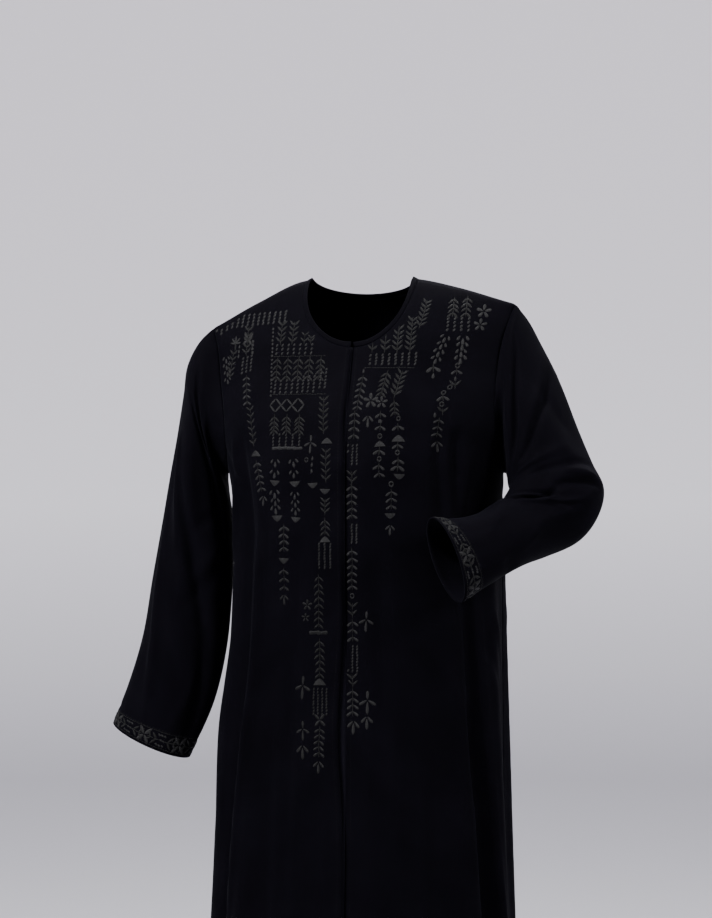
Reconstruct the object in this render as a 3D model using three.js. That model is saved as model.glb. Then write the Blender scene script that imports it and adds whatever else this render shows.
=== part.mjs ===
// Front-opening abaya of light black crepe, hollow and worn: left arm bent across the waist,
// right arm hanging. Millimetres, +Z up, the front faces -Y and +X is the wearer's left.
// The origin is the middle of the neck's base, between the two shoulder seams.
import * as THREE from 'three';

const CLOTH = 2;
const SEAM_TRIM = 0.25;
const HEM_Z = -1415;
const CENTRE_Y = 5;
const NECK = { halfWidth: 75, sideZ: 5, frontZ: -88, backZ: -16 };
const BINDING = { height: 8, frontLean: 0.4, shoulderLean: 2 };
const ARMHOLE = { underarmZ: -250, frontCut: 25, backCut: 27 };
const CROWN = { drop: 185, power: 1.65 };
const SHOULDER_HALF_WIDTH = 203;

// The wearer's right front laps over the left one, which ends in a sewn-on underlap strip.
const FRONT_EDGE = { right: 1, left: 4 };
const UNDERLAP = { width: 28, sink: 5.5, fade: 45 };

// Where the right front's edge swings open over the strip, and over what height.
const EDGE_SWINGS = [
  { z: -180, width: 2, span: 30 },
  { z: -575, width: 8, span: 90 },
];

// Rows run down the cloth and columns run across it.
const GRID = { neckRows: 5, armholeRows: 10, skirtRows: 18, frontColumns: 14, backNeckColumns: 5 };
const LAST_ROW = GRID.armholeRows + GRID.skirtRows;
const BACK_COLUMNS = GRID.frontColumns + GRID.backNeckColumns;
const RINGS_PER_STATION = 2;

// Height of the shoulder line above the origin, from the neck's middle out to the arm.
const SHOULDER_LINE = {
  left: [{ x: 0, z: 12 }, { x: 75, z: 5 }, { x: 129, z: -7 }, { x: 203, z: -30 }],
  right: [{ x: 0, z: 12 }, { x: 75, z: 5 }, { x: 140, z: -23 }, { x: 203, z: -58 }],
};

// Level sections of the body of the garment, to the hollows between the folds.
const SECTIONS = [
  { z: 20, right: 203, left: 203, front: 104, back: 124 },
  { z: -110, right: 203, left: 203, front: 116, back: 130 },
  { z: -190, right: 190, left: 198, front: 136, back: 126 },
  { z: -250, right: 178, left: 187, front: 146, back: 120 },
  { z: -340, right: 167, left: 184, front: 146, back: 112 },
  { z: -460, right: 168, left: 184, front: 141, back: 108 },
  { z: -600, right: 179, left: 185, front: 142, back: 114 },
  { z: -820, right: 185, left: 188, front: 150, back: 126 },
  { z: -1415, right: 206, left: 209, front: 172, back: 150 },
];

// Folds that fall from the waist: angles are degrees from the front, + to the wearer's left.
// A fold's height grows as this power of the way down to the hem.
const FOLD_RISE = 0.6;
const FOLDS = [
  { top: 51, foot: 62, startZ: -340, height: 18, width: 8 },
  { top: 70, foot: 86, startZ: -300, height: 24, width: 8 },
  { top: 100, foot: 110, startZ: -280, height: 26, width: 9 },
  { top: 125, foot: 133, startZ: -420, height: 28, width: 9 },
  { top: 150, foot: 155, startZ: -360, height: 24, width: 8 },
  { top: 174, foot: 177, startZ: -480, height: 28, width: 9 },
  { top: -157, foot: -160, startZ: -400, height: 25, width: 8 },
  { top: -134, foot: -138, startZ: -460, height: 28, width: 9 },
  { top: -108, foot: -114, startZ: -420, height: 26, width: 9 },
  { top: -67, foot: -86, startZ: -270, height: 26, width: 11 },
  { top: -42, foot: -55, startZ: -330, height: 20, width: 9 },
  { top: 8, foot: 16, startZ: -760, height: 12, width: 9 },
  { top: -12, foot: -22, startZ: -800, height: 12, width: 9 },
];

// Sleeve sections: the outer and the inner end of each flattened ring and its half depth.
// `dip` is how far the front of a ring hangs below the middle.
const SLEEVES = {
  right: [
    { outerX: -221, outerZ: -74, innerX: -186, innerZ: -252, y: 10, depth: 50 },
    { outerX: -238, outerZ: -105, innerX: -186, innerZ: -260, y: 10, depth: 54 },
    { outerX: -244, outerZ: -146, innerX: -184, innerZ: -270, y: 9, depth: 57 },
    { outerX: -252, outerZ: -200, innerX: -181, innerZ: -287, y: 7, depth: 58 },
    { outerX: -261, outerZ: -254, innerX: -177, innerZ: -313, y: 4, depth: 57 },
    { outerX: -270, outerZ: -314, innerX: -175, innerZ: -350, y: -1, depth: 55 },
    { outerX: -282, outerZ: -391, innerX: -175, innerZ: -409, y: -9, depth: 51 },
    { outerX: -293, outerZ: -467, innerX: -180, innerZ: -482, y: -18, depth: 47 },
    { outerX: -310, outerZ: -529, innerX: -194, innerZ: -552, y: -28, depth: 42, dip: 5 },
    { outerX: -329, outerZ: -581, innerX: -224, innerZ: -625, y: -38, depth: 36, dip: 11 },
  ],
  left: [
    { outerX: 213, outerZ: -44, innerX: 198, innerZ: -252, y: 8, depth: 50 },
    { outerX: 231, outerZ: -76, innerX: 199, innerZ: -260, y: 5, depth: 54 },
    { outerX: 259, outerZ: -130, innerX: 201, innerZ: -267, y: -2, depth: 56 },
    { outerX: 283, outerZ: -187, innerX: 203, innerZ: -273, y: -12, depth: 56 },
    { outerX: 307, outerZ: -237, innerX: 202, innerZ: -278, y: -25, depth: 53 },
    { outerX: 323, outerZ: -269, innerX: 197, innerZ: -284, y: -38, depth: 50 },
    { outerX: 318, outerZ: -300, innerX: 189, innerZ: -293, y: -46, depth: 48 },
    { outerX: 301, outerZ: -325, innerX: 180, innerZ: -301, y: -56, depth: 46 },
    { outerX: 269, outerZ: -341, innerX: 169, innerZ: -306, y: -75, depth: 43 },
    { outerX: 236, outerZ: -359, innerX: 159, innerZ: -309, y: -100, depth: 39 },
    { outerX: 199, outerZ: -383, innerX: 140, innerZ: -309, y: -128, depth: 35 },
    { outerX: 156, outerZ: -412, innerX: 118, innerZ: -305, y: -158, depth: 31 },
  ],
};

// Long sleeve folds: stations run down the arm and turns go round it, 0 outside, 90 in front.
const SLEEVE_FOLDS = {
  right: [
    { from: 2.2, to: 8.5, turn: 62, endTurn: 96, height: 6, width: 17 },
    { from: 3.4, to: 9.5, turn: 118, endTurn: 138, height: 5, width: 16 },
    { from: 4.0, to: 9.5, turn: -70, endTurn: -84, height: 6, width: 20 },
  ],
  left: [
    { from: 1.0, to: 6.4, turn: 70, endTurn: 44, height: 6, width: 17 },
    { from: 5.2, to: 11.0, turn: 128, endTurn: 112, height: 6, width: 18 },
    { from: 5.6, to: 10.5, turn: 34, endTurn: 58, height: 5, width: 16 },
    { from: 2.0, to: 8.0, turn: -66, endTurn: -92, height: 6, width: 20 },
  ],
};

const CREPE = { color: 0x0b0b0f, roughness: 0.92, metalness: 0 };
const PLAIN_BAND = { color: 0x131318, roughness: 0.8, metalness: 0 };

const { clamp, lerp, smoothstep, degToRad, radToDeg, euclideanModulo } = THREE.MathUtils;

// A smooth curve through a table's rows, with no overshoot: `column` as a function of `key`.
function curve(rows, key, column) {
  const secants = rows.slice(1).map((row, i) => (
    (row[column] - rows[i][column]) / (row[key] - rows[i][key])));
  const slopes = rows.map((row, i) => {
    const before = secants[Math.max(i - 1, 0)];
    const after = secants[Math.min(i, secants.length - 1)];
    return before * after > 0 ? 2 * before * after / (before + after) : 0;
  });
  const rising = rows[1][key] > rows[0][key];
  return (at) => {
    let i = 0;
    while (i < rows.length - 2 && (rising ? at > rows[i + 1][key] : at < rows[i + 1][key])) i += 1;
    const span = rows[i + 1][key] - rows[i][key];
    const t = clamp((at - rows[i][key]) / span, 0, 1);
    const start = rows[i][column] * (1 + 2 * t) + slopes[i] * span * t;
    const end = rows[i + 1][column] * (3 - 2 * t) - slopes[i + 1] * span * (1 - t);
    return start * (1 - t) ** 2 + end * t ** 2;
  };
}

const shoulderZ = {
  left: curve(SHOULDER_LINE.left, 'x', 'z'),
  right: curve(SHOULDER_LINE.right, 'x', 'z'),
};
const sectionOf = {
  left: curve(SECTIONS, 'z', 'left'),
  right: curve(SECTIONS, 'z', 'right'),
  front: curve(SECTIONS, 'z', 'front'),
  back: curve(SECTIONS, 'z', 'back'),
};

// The short way round from one angle to another, in degrees.
const turnBetween = (from, to) => euclideanModulo(to - from + 180, 360) - 180;

// How far the folds lift the cloth off its level section.
function foldLift(angle, z) {
  let lift = 0;
  for (const fold of FOLDS) {
    const t = (fold.startZ - z) / (fold.startZ - HEM_Z);
    if (t > 0) {
      const away = turnBetween(lerp(fold.top, fold.foot, t), angle);
      lift += fold.height * t ** FOLD_RISE * Math.exp(-((away / fold.width) ** 2));
    }
  }
  return lift;
}

// A point of the garment's body at an angle from the front and a height, rounded to the
// shoulder line at the top. `sink` moves it in behind the front.
function bodyPoint(angle, z, sink = 0) {
  const side = angle < 0 ? 'right' : 'left';
  const turn = degToRad(angle);
  const depth = Math.cos(turn) > 0 ? sectionOf.front(z) : sectionOf.back(z);
  const x = sectionOf[side](z) * Math.sin(turn);
  const drop = clamp((shoulderZ[side](Math.abs(x)) - z) / CROWN.drop, 0, 1);
  const crown = (1 - (1 - drop) ** CROWN.power) ** (1 / CROWN.power);
  const lift = foldLift(angle, z);
  const y = CENTRE_Y - depth * Math.cos(turn) * crown - lift * Math.cos(turn) + sink;
  return new THREE.Vector3(x + lift * Math.sin(turn), y, z);
}

function frontEdgeX(side, z) {
  if (side === 'left') return FRONT_EDGE.left;
  const open = ({ z: middle, width, span }) => width * Math.exp(-(((z - middle) / span) ** 2));
  return FRONT_EDGE.right - EDGE_SWINGS.reduce((sum, swing) => sum + open(swing), 0);
}

const angleAt = (x, side, z) => radToDeg(Math.asin(x / sectionOf[side](z)));
const underlapSink = (x) => UNDERLAP.sink * (1 - smoothstep(x, FRONT_EDGE.left, UNDERLAP.fade));

// Where a row meets the armhole or, below it, the side seam.
function outerEnd(side, row, cut) {
  const { armholeRows, skirtRows } = GRID;
  if (row > armholeRows) {
    return { angle: 90, z: lerp(ARMHOLE.underarmZ, HEM_Z, (row - armholeRows) / skirtRows) };
  }
  const turn = Math.PI * row / armholeRows;
  const tipZ = shoulderZ[side](SHOULDER_HALF_WIDTH);
  return {
    angle: 90 - cut * Math.sin(turn),
    z: lerp(tipZ, ARMHOLE.underarmZ, (1 - Math.cos(turn)) / 2),
  };
}

// Where a row of a front meets the neckline or, below it, the front edge.
function frontInnerEnd(side, row) {
  const { neckRows, armholeRows } = GRID;
  if (row <= neckRows) {
    const turn = Math.PI / 2 * row / neckRows;
    const neckX = side === 'left' ? NECK.halfWidth : -NECK.halfWidth;
    return {
      x: lerp(frontEdgeX(side, NECK.frontZ), neckX, Math.cos(turn)),
      z: lerp(NECK.sideZ, NECK.frontZ, Math.sin(turn)),
    };
  }
  const bustStep = (row - neckRows) / (armholeRows - neckRows);
  const z = row < armholeRows
    ? lerp(NECK.frontZ, ARMHOLE.underarmZ, bustStep)
    : outerEnd(side, row, 0).z;
  return { x: frontEdgeX(side, z), z };
}

function frontGrid(side) {
  const sign = side === 'left' ? 1 : -1;
  const grid = [];
  for (let row = 0; row <= LAST_ROW; row += 1) {
    const inner = frontInnerEnd(side, row);
    const outer = outerEnd(side, row, ARMHOLE.frontCut);
    const innerAngle = angleAt(inner.x, side, inner.z);
    const level = smoothstep(row, 0, GRID.armholeRows);
    const line = [];
    for (let column = 0; column <= GRID.frontColumns; column += 1) {
      const across = column / GRID.frontColumns;
      const angle = lerp(innerAngle, sign * outer.angle, across);
      const x = sectionOf[side](outer.z) * Math.sin(degToRad(angle));
      const innerDrop = shoulderZ[side](Math.abs(inner.x)) - inner.z;
      const outerDrop = shoulderZ[side](SHOULDER_HALF_WIDTH) - outer.z;
      const hung = shoulderZ[side](Math.abs(x)) - lerp(innerDrop, outerDrop, across);
      const z = lerp(hung, lerp(inner.z, outer.z, across), level);
      line.push(bodyPoint(angle, z, side === 'left' ? underlapSink(x) : 0));
    }
    grid.push(line);
  }
  return grid;
}

// Columns of the back run from the right side seam to the left one.
function backGrid() {
  const neckAngle = angleAt(NECK.halfWidth, 'left', 0);
  const grid = [];
  for (let row = 0; row <= LAST_ROW; row += 1) {
    const level = smoothstep(row, 0, GRID.armholeRows);
    const line = [];
    for (let column = -BACK_COLUMNS; column <= BACK_COLUMNS; column += 1) {
      const side = column < 0 ? 'right' : 'left';
      const step = Math.abs(column);
      const outer = outerEnd(side, row, ARMHOLE.backCut);
      const onNeck = step < GRID.backNeckColumns;
      const neckTurn = Math.PI / 2 * step / GRID.backNeckColumns;
      const shoulderStep = (step - GRID.backNeckColumns) / GRID.frontColumns;
      const topAngle = onNeck
        ? angleAt(NECK.halfWidth * Math.sin(neckTurn), 'left', 0)
        : lerp(neckAngle, 90, shoulderStep);
      const topX = SHOULDER_HALF_WIDTH * Math.sin(degToRad(topAngle));
      const topZ = onNeck
        ? lerp(NECK.sideZ, NECK.backZ, Math.cos(neckTurn))
        : shoulderZ[side](topX);
      const across = step / BACK_COLUMNS;
      const outward = lerp(topAngle, 90 * across, level) - (90 - outer.angle) * across ** 2;
      const tipZ = shoulderZ[side](SHOULDER_HALF_WIDTH);
      const centreZ = row > GRID.armholeRows
        ? outer.z
        : lerp(NECK.backZ, ARMHOLE.underarmZ, row / GRID.armholeRows);
      const hung = topZ - lerp(NECK.backZ - centreZ, tipZ - outer.z, across);
      const straight = lerp(centreZ, outer.z, across);
      const z = lerp(hung, straight, level);
      line.push(bodyPoint((column < 0 ? -1 : 1) * (180 - outward), z));
    }
    grid.push(line);
  }
  return grid;
}

// One loop of points round a sleeve: out at 0, to the front at a quarter, in at a half.
function sleeveRing(stations, index) {
  const station = stations[index];
  const outer = new THREE.Vector3(station.outerX, station.y, station.outerZ);
  const inner = new THREE.Vector3(station.innerX, station.y, station.innerZ);
  const centreOf = ({ outerX, innerX, y, outerZ, innerZ }) => (
    new THREE.Vector3((outerX + innerX) / 2, y, (outerZ + innerZ) / 2));
  const before = centreOf(stations[Math.max(index - 1, 0)]);
  const after = centreOf(stations[Math.min(index + 1, stations.length - 1)]);
  const reach = outer.clone().sub(inner).multiplyScalar(0.5);
  const forward = after.sub(before).cross(reach).normalize().multiplyScalar(station.depth);
  if (station.outerX < 0) forward.negate();
  forward.z -= station.dip ?? 0;
  const count = 2 * GRID.armholeRows;
  return Array.from({ length: count }, (_, k) => {
    const turn = 2 * Math.PI * k / count;
    return centreOf(station)
      .addScaledVector(reach, Math.cos(turn))
      .addScaledVector(forward, Math.sin(turn));
  });
}

function sleeveFoldLift(side, station, turn) {
  let lift = 0;
  for (const fold of SLEEVE_FOLDS[side]) {
    const t = (station - fold.from) / (fold.to - fold.from);
    if (t > 0 && t < 1) {
      const away = turnBetween(lerp(fold.turn, fold.endTurn, t), turn);
      lift += fold.height * Math.sin(Math.PI * t) * Math.exp(-((away / fold.width) ** 2));
    }
  }
  return lift;
}

// The first ring is the armhole itself, from the front's and the back's own points.
function sleeveGrid(side, front, back) {
  const last = GRID.armholeRows;
  const seam = side === 'left' ? 2 * BACK_COLUMNS : 0;
  const armhole = [];
  for (let row = 0; row <= last; row += 1) armhole.push(front[row][GRID.frontColumns].clone());
  for (let row = last - 1; row > 0; row -= 1) armhole.push(back[row][seam].clone());
  const rings = [armhole, ...SLEEVES[side].map((_, index) => sleeveRing(SLEEVES[side], index))];
  const count = armhole.length;
  const grid = [];
  const steps = (rings.length - 1) * RINGS_PER_STATION;
  const lines = armhole.map((_, k) => new THREE.CatmullRomCurve3(rings.map((ring) => ring[k])));
  for (let step = 0; step <= steps; step += 1) {
    const ring = lines.map((line) => line.getPoint(step / steps));
    const centre = new THREE.Vector3();
    ring.forEach((point) => centre.addScaledVector(point, 1 / count));
    ring.forEach((point, k) => {
      const lift = sleeveFoldLift(side, step / RINGS_PER_STATION, 360 * k / count);
      point.addScaledVector(point.clone().sub(centre).normalize(), lift);
    });
    grid.push([...ring, ring[0].clone()]);
  }
  return grid;
}

// A narrow strip that goes on from the neckline, upright in front and leaning in over the
// shoulders, and open at the centre front.
function bindingGrid(right, back, left) {
  const { neckRows, backNeckColumns } = GRID;
  const line = [];
  for (let row = neckRows; row > 0; row -= 1) line.push(right[row][0]);
  for (let column = -backNeckColumns; column <= backNeckColumns; column += 1) {
    line.push(back[0][BACK_COLUMNS + column]);
  }
  for (let row = 1; row <= neckRows; row += 1) line.push(left[row][0]);
  return [0, 0.5, 1].map((part) => line.map((point) => {
    const inward = new THREE.Vector3(-point.x, -point.y, 0).normalize();
    const rise = (point.z - NECK.frontZ) / (NECK.sideZ - NECK.frontZ);
    const lean = lerp(BINDING.frontLean, BINDING.shoulderLean, rise ** 3);
    const up = new THREE.Vector3(0, 0, 1).addScaledVector(inward, lean).normalize();
    return point.clone().addScaledVector(up, BINDING.height * part);
  }));
}

// The underlap strip: sewn to the left front's edge and hidden behind the right front.
function underlapGrid(left) {
  return left.slice(GRID.neckRows).map((row) => {
    const edge = row[0];
    return [1, 0.5, 0].map((part) => {
      const x = edge.x - UNDERLAP.width * part;
      if (part === 0) return edge.clone();
      const side = x < 0 ? 'right' : 'left';
      return bodyPoint(angleAt(x, side, edge.z), edge.z, UNDERLAP.sink);
    });
  });
}

// Every piece lists its sewn sides, and which way (1 or -1) its rows and columns face.
function allPieces() {
  const right = frontGrid('right');
  const left = frontGrid('left');
  const back = backGrid();
  const sleeveRight = sleeveGrid('right', right, back);
  const sleeveLeft = sleeveGrid('left', left, back);
  const binding = bindingGrid(right, back, left);
  const underlap = underlapGrid(left);
  return [
    { name: 'front_right', grid: right, facing: -1, sewn: { top: 1, outer: 1, neck: 1 } },
    { name: 'front_left', grid: left, facing: 1, sewn: { top: 1, outer: 1, inner: 1 } },
    { name: 'back', grid: back, facing: -1, sewn: { top: 1, outer: 1, inner: 1 } },
    { name: 'sleeve_right', grid: sleeveRight, facing: 1, sewn: { top: 1 }, tube: true },
    { name: 'sleeve_left', grid: sleeveLeft, facing: -1, sewn: { top: 1 }, tube: true },
    { name: 'neck_binding', grid: binding, facing: 1, sewn: { top: 1 } },
    { name: 'underlap_strip', grid: underlap, facing: 1, sewn: { outer: 1 }, look: PLAIN_BAND },
  ];
}

const keyOf = (point) => point.toArray().map((value) => Math.round(value * 100)).join(' ');

// The outward direction at each point, shared by all pieces that meet there, so that the
// walls meet in a mitre.
function sharedNormals(pieces) {
  const sums = new Map();
  for (const { grid, facing } of pieces) {
    for (let row = 0; row < grid.length - 1; row += 1) {
      for (let column = 0; column < grid[0].length - 1; column += 1) {
        const corners = [
          grid[row][column], grid[row][column + 1], grid[row + 1][column + 1], grid[row + 1][column],
        ];
        const across = corners[2].clone().sub(corners[0]);
        const normal = corners[3].clone().sub(corners[1]).cross(across).multiplyScalar(facing);
        if (normal.lengthSq() > 0) normal.normalize();
        for (const corner of corners) {
          const key = keyOf(corner);
          if (!sums.has(key)) sums.set(key, new THREE.Vector3());
          sums.get(key).add(normal);
        }
      }
    }
  }
  for (const sum of sums.values()) sum.normalize();
  return sums;
}

// Draw each sewn side back from its seam, square to the mitre where the walls meet.
function trimSeams(grid, sewn, normals) {
  const rows = grid.length - 1;
  const columns = grid[0].length - 1;
  const trimmed = grid.map((line) => line.map((point) => point.clone()));
  const trim = (row, column, inRow, inColumn) => {
    const point = grid[row][column];
    const [alongRow, alongColumn] = inRow ? [0, 1] : [1, 0];
    const before = grid[Math.max(row - alongRow, 0)][Math.max(column - alongColumn, 0)];
    const after = grid[Math.min(row + alongRow, rows)][Math.min(column + alongColumn, columns)];
    const square = after.clone().sub(before).cross(normals[row][column]).normalize();
    const toward = grid[row + inRow][column + inColumn].clone().sub(point);
    trimmed[row][column].addScaledVector(square, Math.sign(square.dot(toward)) * SEAM_TRIM);
  };
  for (let column = 0; column <= columns && sewn.top; column += 1) trim(0, column, 1, 0);
  for (let row = 0; row <= rows; row += 1) {
    if (sewn.inner || (sewn.neck && row <= GRID.neckRows)) trim(row, 0, 0, 1);
    if (sewn.outer) trim(row, columns, 0, -1);
  }
  return trimmed;
}

// A closed wall: the outer points, the same points moved in by the cloth's thickness, and
// the strips that join the two round the edges.
function wallGeometry({ grid, tube, sewn }, normals) {
  const outward = grid.map((row) => row.map((point) => normals.get(keyOf(point))));
  const behind = grid.map((row, i) => (
    row.map((point, j) => point.clone().addScaledVector(outward[i][j], -CLOTH))));
  const outer = trimSeams(grid, sewn, outward);
  const inner = trimSeams(behind, sewn, outward);
  const rows = grid.length;
  const columns = grid[0].length - (tube ? 1 : 0);
  const walls = [...outer, ...inner].flatMap((row) => row.slice(0, columns));
  const positions = walls.flatMap((point) => point.toArray());
  const index = [];
  const at = (layer, row, column) => layer * rows * columns + row * columns + column % columns;
  const quad = (a, b, c, d) => index.push(a, b, c, a, c, d);
  const spans = tube ? columns : columns - 1;
  for (let column = 0; column < spans; column += 1) {
    const next = column + 1;
    for (let row = 0; row < rows - 1; row += 1) {
      quad(at(0, row, column), at(0, row, next), at(0, row + 1, next), at(0, row + 1, column));
      quad(at(1, row, column), at(1, row + 1, column), at(1, row + 1, next), at(1, row, next));
    }
    quad(at(0, 0, next), at(0, 0, column), at(1, 0, column), at(1, 0, next));
    quad(at(0, rows - 1, column), at(0, rows - 1, next), at(1, rows - 1, next), at(1, rows - 1, column));
  }
  if (!tube) {
    const end = columns - 1;
    for (let row = 0; row < rows - 1; row += 1) {
      quad(at(0, row, 0), at(0, row + 1, 0), at(1, row + 1, 0), at(1, row, 0));
      quad(at(0, row + 1, end), at(0, row, end), at(1, row, end), at(1, row + 1, end));
    }
  }
  const geometry = new THREE.BufferGeometry();
  geometry.setAttribute('position', new THREE.Float32BufferAttribute(positions, 3));
  geometry.setIndex(signedVolume(positions, index) > 0 ? index : index.slice().reverse());
  geometry.computeVertexNormals();
  return geometry;
}

function signedVolume(positions, index) {
  const corner = (i) => new THREE.Vector3().fromArray(positions, 3 * index[i]);
  let volume = 0;
  for (let i = 0; i < index.length; i += 3) {
    volume += corner(i).dot(corner(i + 1).cross(corner(i + 2))) / 6;
  }
  return volume;
}

const abaya = new THREE.Group();
const pieces = allPieces();
const normals = sharedNormals(pieces);
for (const piece of pieces) {
  const material = new THREE.MeshStandardMaterial(piece.look ?? CREPE);
  const mesh = new THREE.Mesh(wallGeometry(piece, normals), material);
  mesh.name = piece.name;
  abaya.add(mesh);
}

export default abaya;
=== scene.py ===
# %% [markdown]
# # A front-opening abaya in black crepe
# An abaya is a long loose overgarment. This one hangs from the shoulders as if worn, one sleeve bent
# across the waist, and its chest and cuffs carry leaf embroidery in charcoal thread. The solids give
# its form: seven thin walls that meet at the seams. Here each wall gets its cloth, a thin shell over
# the same form with smaller creases, and then its hems, its stitches and its finishes.

# %% Load the solids
import math

import bmesh
import bpy
import numpy as np
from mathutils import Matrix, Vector
from mathutils.bvhtree import BVHTree


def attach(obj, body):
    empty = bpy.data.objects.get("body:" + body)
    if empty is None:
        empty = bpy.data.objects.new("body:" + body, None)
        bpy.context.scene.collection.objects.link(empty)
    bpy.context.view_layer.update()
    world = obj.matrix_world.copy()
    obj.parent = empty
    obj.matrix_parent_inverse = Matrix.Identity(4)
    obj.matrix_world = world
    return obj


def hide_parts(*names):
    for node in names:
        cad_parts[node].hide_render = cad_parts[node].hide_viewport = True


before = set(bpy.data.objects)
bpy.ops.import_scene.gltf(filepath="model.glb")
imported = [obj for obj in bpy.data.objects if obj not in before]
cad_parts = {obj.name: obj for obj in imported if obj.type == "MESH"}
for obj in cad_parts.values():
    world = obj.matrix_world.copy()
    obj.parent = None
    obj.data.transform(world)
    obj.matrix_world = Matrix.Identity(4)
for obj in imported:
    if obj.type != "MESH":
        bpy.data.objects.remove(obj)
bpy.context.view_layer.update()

MM = 0.001
print("solids:", sorted(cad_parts))

# %% [markdown]
# ## Camera
# The garment is seen from a little to the wearer's left and level with the chest, through a long
# lens that keeps the skirt straight. A long lens far away would flatten the bent sleeve, so the
# camera stands at the distance where a portrait is usually taken, and only the lens is long.

# %% Camera
CAMERA = {"sensor": 36, "lens": 130.2, "place": (0.641, -3.339, -0.232), "turn": 11}
lens = bpy.data.cameras.new("camera")
lens.sensor_fit = "HORIZONTAL"
lens.sensor_width = CAMERA["sensor"]
lens.lens = CAMERA["lens"]
camera = bpy.data.objects.new("camera", lens)
camera.location = CAMERA["place"]
camera.rotation_euler = (math.radians(90), 0, math.radians(CAMERA["turn"]))
bpy.context.scene.collection.objects.link(camera)
bpy.context.scene.camera = camera
print("camera", round(camera.location.length, 2), "m away")

# %% [markdown]
# ## Studio
# Black cloth needs a pale room, or its outline is lost. A photographer hangs a roll of paper that
# curves from the floor up the wall. The garment is looked at from every side, so this roll goes all
# the way round: one curved profile, spun about the upright axis.

# %% Pale floor that curves up all round
FLOOR_Z = -1.49
SWEEP = {"radius": 9.0, "cove": 2.2, "height": 6.5, "steps": 10, "sides": 72, "painted_shade_top": 1.5}
# Paper colour by height. Its darkening towards the floor is painted shade, standing in for less light
# reaching the floor; the paper itself is evenly pale.
PAPER_COLOUR_AND_PAINTED_SHADE = [(0, (0.5, 0.495, 0.53)), (0.35, (0.93, 0.915, 0.955)), (0.85, (0.93, 0.898, 0.945))]


def link(name, mesh):
    piece = bpy.data.objects.new(name, mesh)
    bpy.context.scene.collection.objects.link(piece)
    return piece


def add_node(tree, kind, inputs=None, **settings):
    node = tree.nodes.new(kind)
    for key, value in settings.items():
        setattr(node, key, value)
    set_inputs(node, inputs or {})
    return node


def set_inputs(node, values):
    for socket, value in values.items():
        node.inputs[socket].default_value = value


def sweep_profile():
    flat = SWEEP["radius"] - SWEEP["cove"]
    bend = [math.radians(90 * step / SWEEP["steps"]) for step in range(SWEEP["steps"] + 1)]
    curve_up = [(flat + SWEEP["cove"] * math.sin(turn), FLOOR_Z + SWEEP["cove"] * (1 - math.cos(turn)))
                for turn in bend]
    return [(0, FLOOR_Z)] + curve_up + [(SWEEP["radius"], SWEEP["height"])]


shape = bmesh.new()
ring = [shape.verts.new((across, 0, up)) for across, up in sweep_profile()]
edges = [shape.edges.new(pair) for pair in zip(ring, ring[1:])]
bmesh.ops.spin(shape, geom=ring + edges, cent=(0, 0, 0), axis=(0, 0, 1), angle=math.tau,
               steps=SWEEP["sides"], use_merge=True)
bmesh.ops.remove_doubles(shape, verts=shape.verts, dist=0.0005)
for face in shape.faces:
    face.smooth = True
paper_mesh = bpy.data.meshes.new("paper_roll")
shape.to_mesh(paper_mesh)
shape.free()
paper = bpy.data.materials.new("pale_paper")
paper.use_nodes = True
tree = paper.node_tree
set_inputs(tree.nodes["Principled BSDF"], {"Roughness": 0.9, "Specular IOR Level": 0.1})
place = add_node(tree, "ShaderNodeTexCoord")
height = add_node(tree, "ShaderNodeSeparateXYZ")
# Painted shade: the paper colour darkens towards the floor.
share = add_node(tree, "ShaderNodeMapRange", {"From Min": FLOOR_Z, "From Max": SWEEP["painted_shade_top"]})
paper_colour_and_shade = add_node(tree, "ShaderNodeValToRGB")
for position, shade in PAPER_COLOUR_AND_PAINTED_SHADE:
    stop = paper_colour_and_shade.color_ramp.elements[0] if position == 0 else paper_colour_and_shade.color_ramp.elements.new(position)
    stop.color = (*shade, 1)
paper_colour_and_shade.color_ramp.elements[-1].color = (*PAPER_COLOUR_AND_PAINTED_SHADE[-1][1], 1)
tree.links.new(place.outputs["Object"], height.inputs["Vector"])
tree.links.new(height.outputs["Z"], share.inputs["Value"])
tree.links.new(share.outputs["Result"], paper_colour_and_shade.inputs["Fac"])
tree.links.new(paper_colour_and_shade.outputs["Color"], tree.nodes["Principled BSDF"].inputs["Base Color"])
paper_mesh.materials.append(paper)
paper_roll = link("paper_roll", paper_mesh)
paper_roll.visible_shadow = False
print("paper roll faces:", len(paper_mesh.polygons))

# %% [markdown]
# ## Light
# Soft light shows black crepe best, because hard light leaves it either flat black or shiny. Three
# soft boxes stand round it: a strong one in front on the wearer's right, a weaker one beside the
# wearer's left, and a broad weak one behind and above that draws the shoulders and the bent sleeve.
# The room gives the rest.

# %% Soft boxes and room light
SOFT_BOXES = [
    ("front_box", (-1.5, -2.1, 2.1), 0.7, 440),
    ("side_box", (2.9, -0.7, 1.2), 0.9, 150),
    ("top_box", (0.4, 1.2, 2.4), 1.6, 90),
]
LOOK_AT = Vector((0, 0, -0.1))
ROOM = {"colour": (0.86, 0.87, 0.9), "strength": 0.95}

for name, place, size, power in SOFT_BOXES:
    light = bpy.data.lights.new(name, "AREA")
    light.shape = "DISK"
    light.size = size
    light.energy = power
    box = bpy.data.objects.new(name, light)
    box.location = place
    box.rotation_euler = (LOOK_AT - Vector(place)).to_track_quat("-Z", "Y").to_euler()
    bpy.context.scene.collection.objects.link(box)

room = bpy.data.worlds.new("room")
room.use_nodes = True
set_inputs(room.node_tree.nodes["Background"],
           {"Color": (*ROOM["colour"], 1), "Strength": ROOM["strength"]})
bpy.context.scene.world = room
print("lights:", [row[0] for row in SOFT_BOXES])

# %% [markdown]
# ## Sizes of the garment
# A pattern cutter works from a few lengths: the neck, the armholes, the level rounds of the body and
# the folds that fall from it. The solids were made from such tables, and the cloth has to lie on
# the same form, so the same tables come here. Everything below is in millimetres until the end.


# %% Tables
def table(columns, *rows):
    """Rows with named columns."""
    return [dict(zip(columns.split(), row)) for row in rows]


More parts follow.
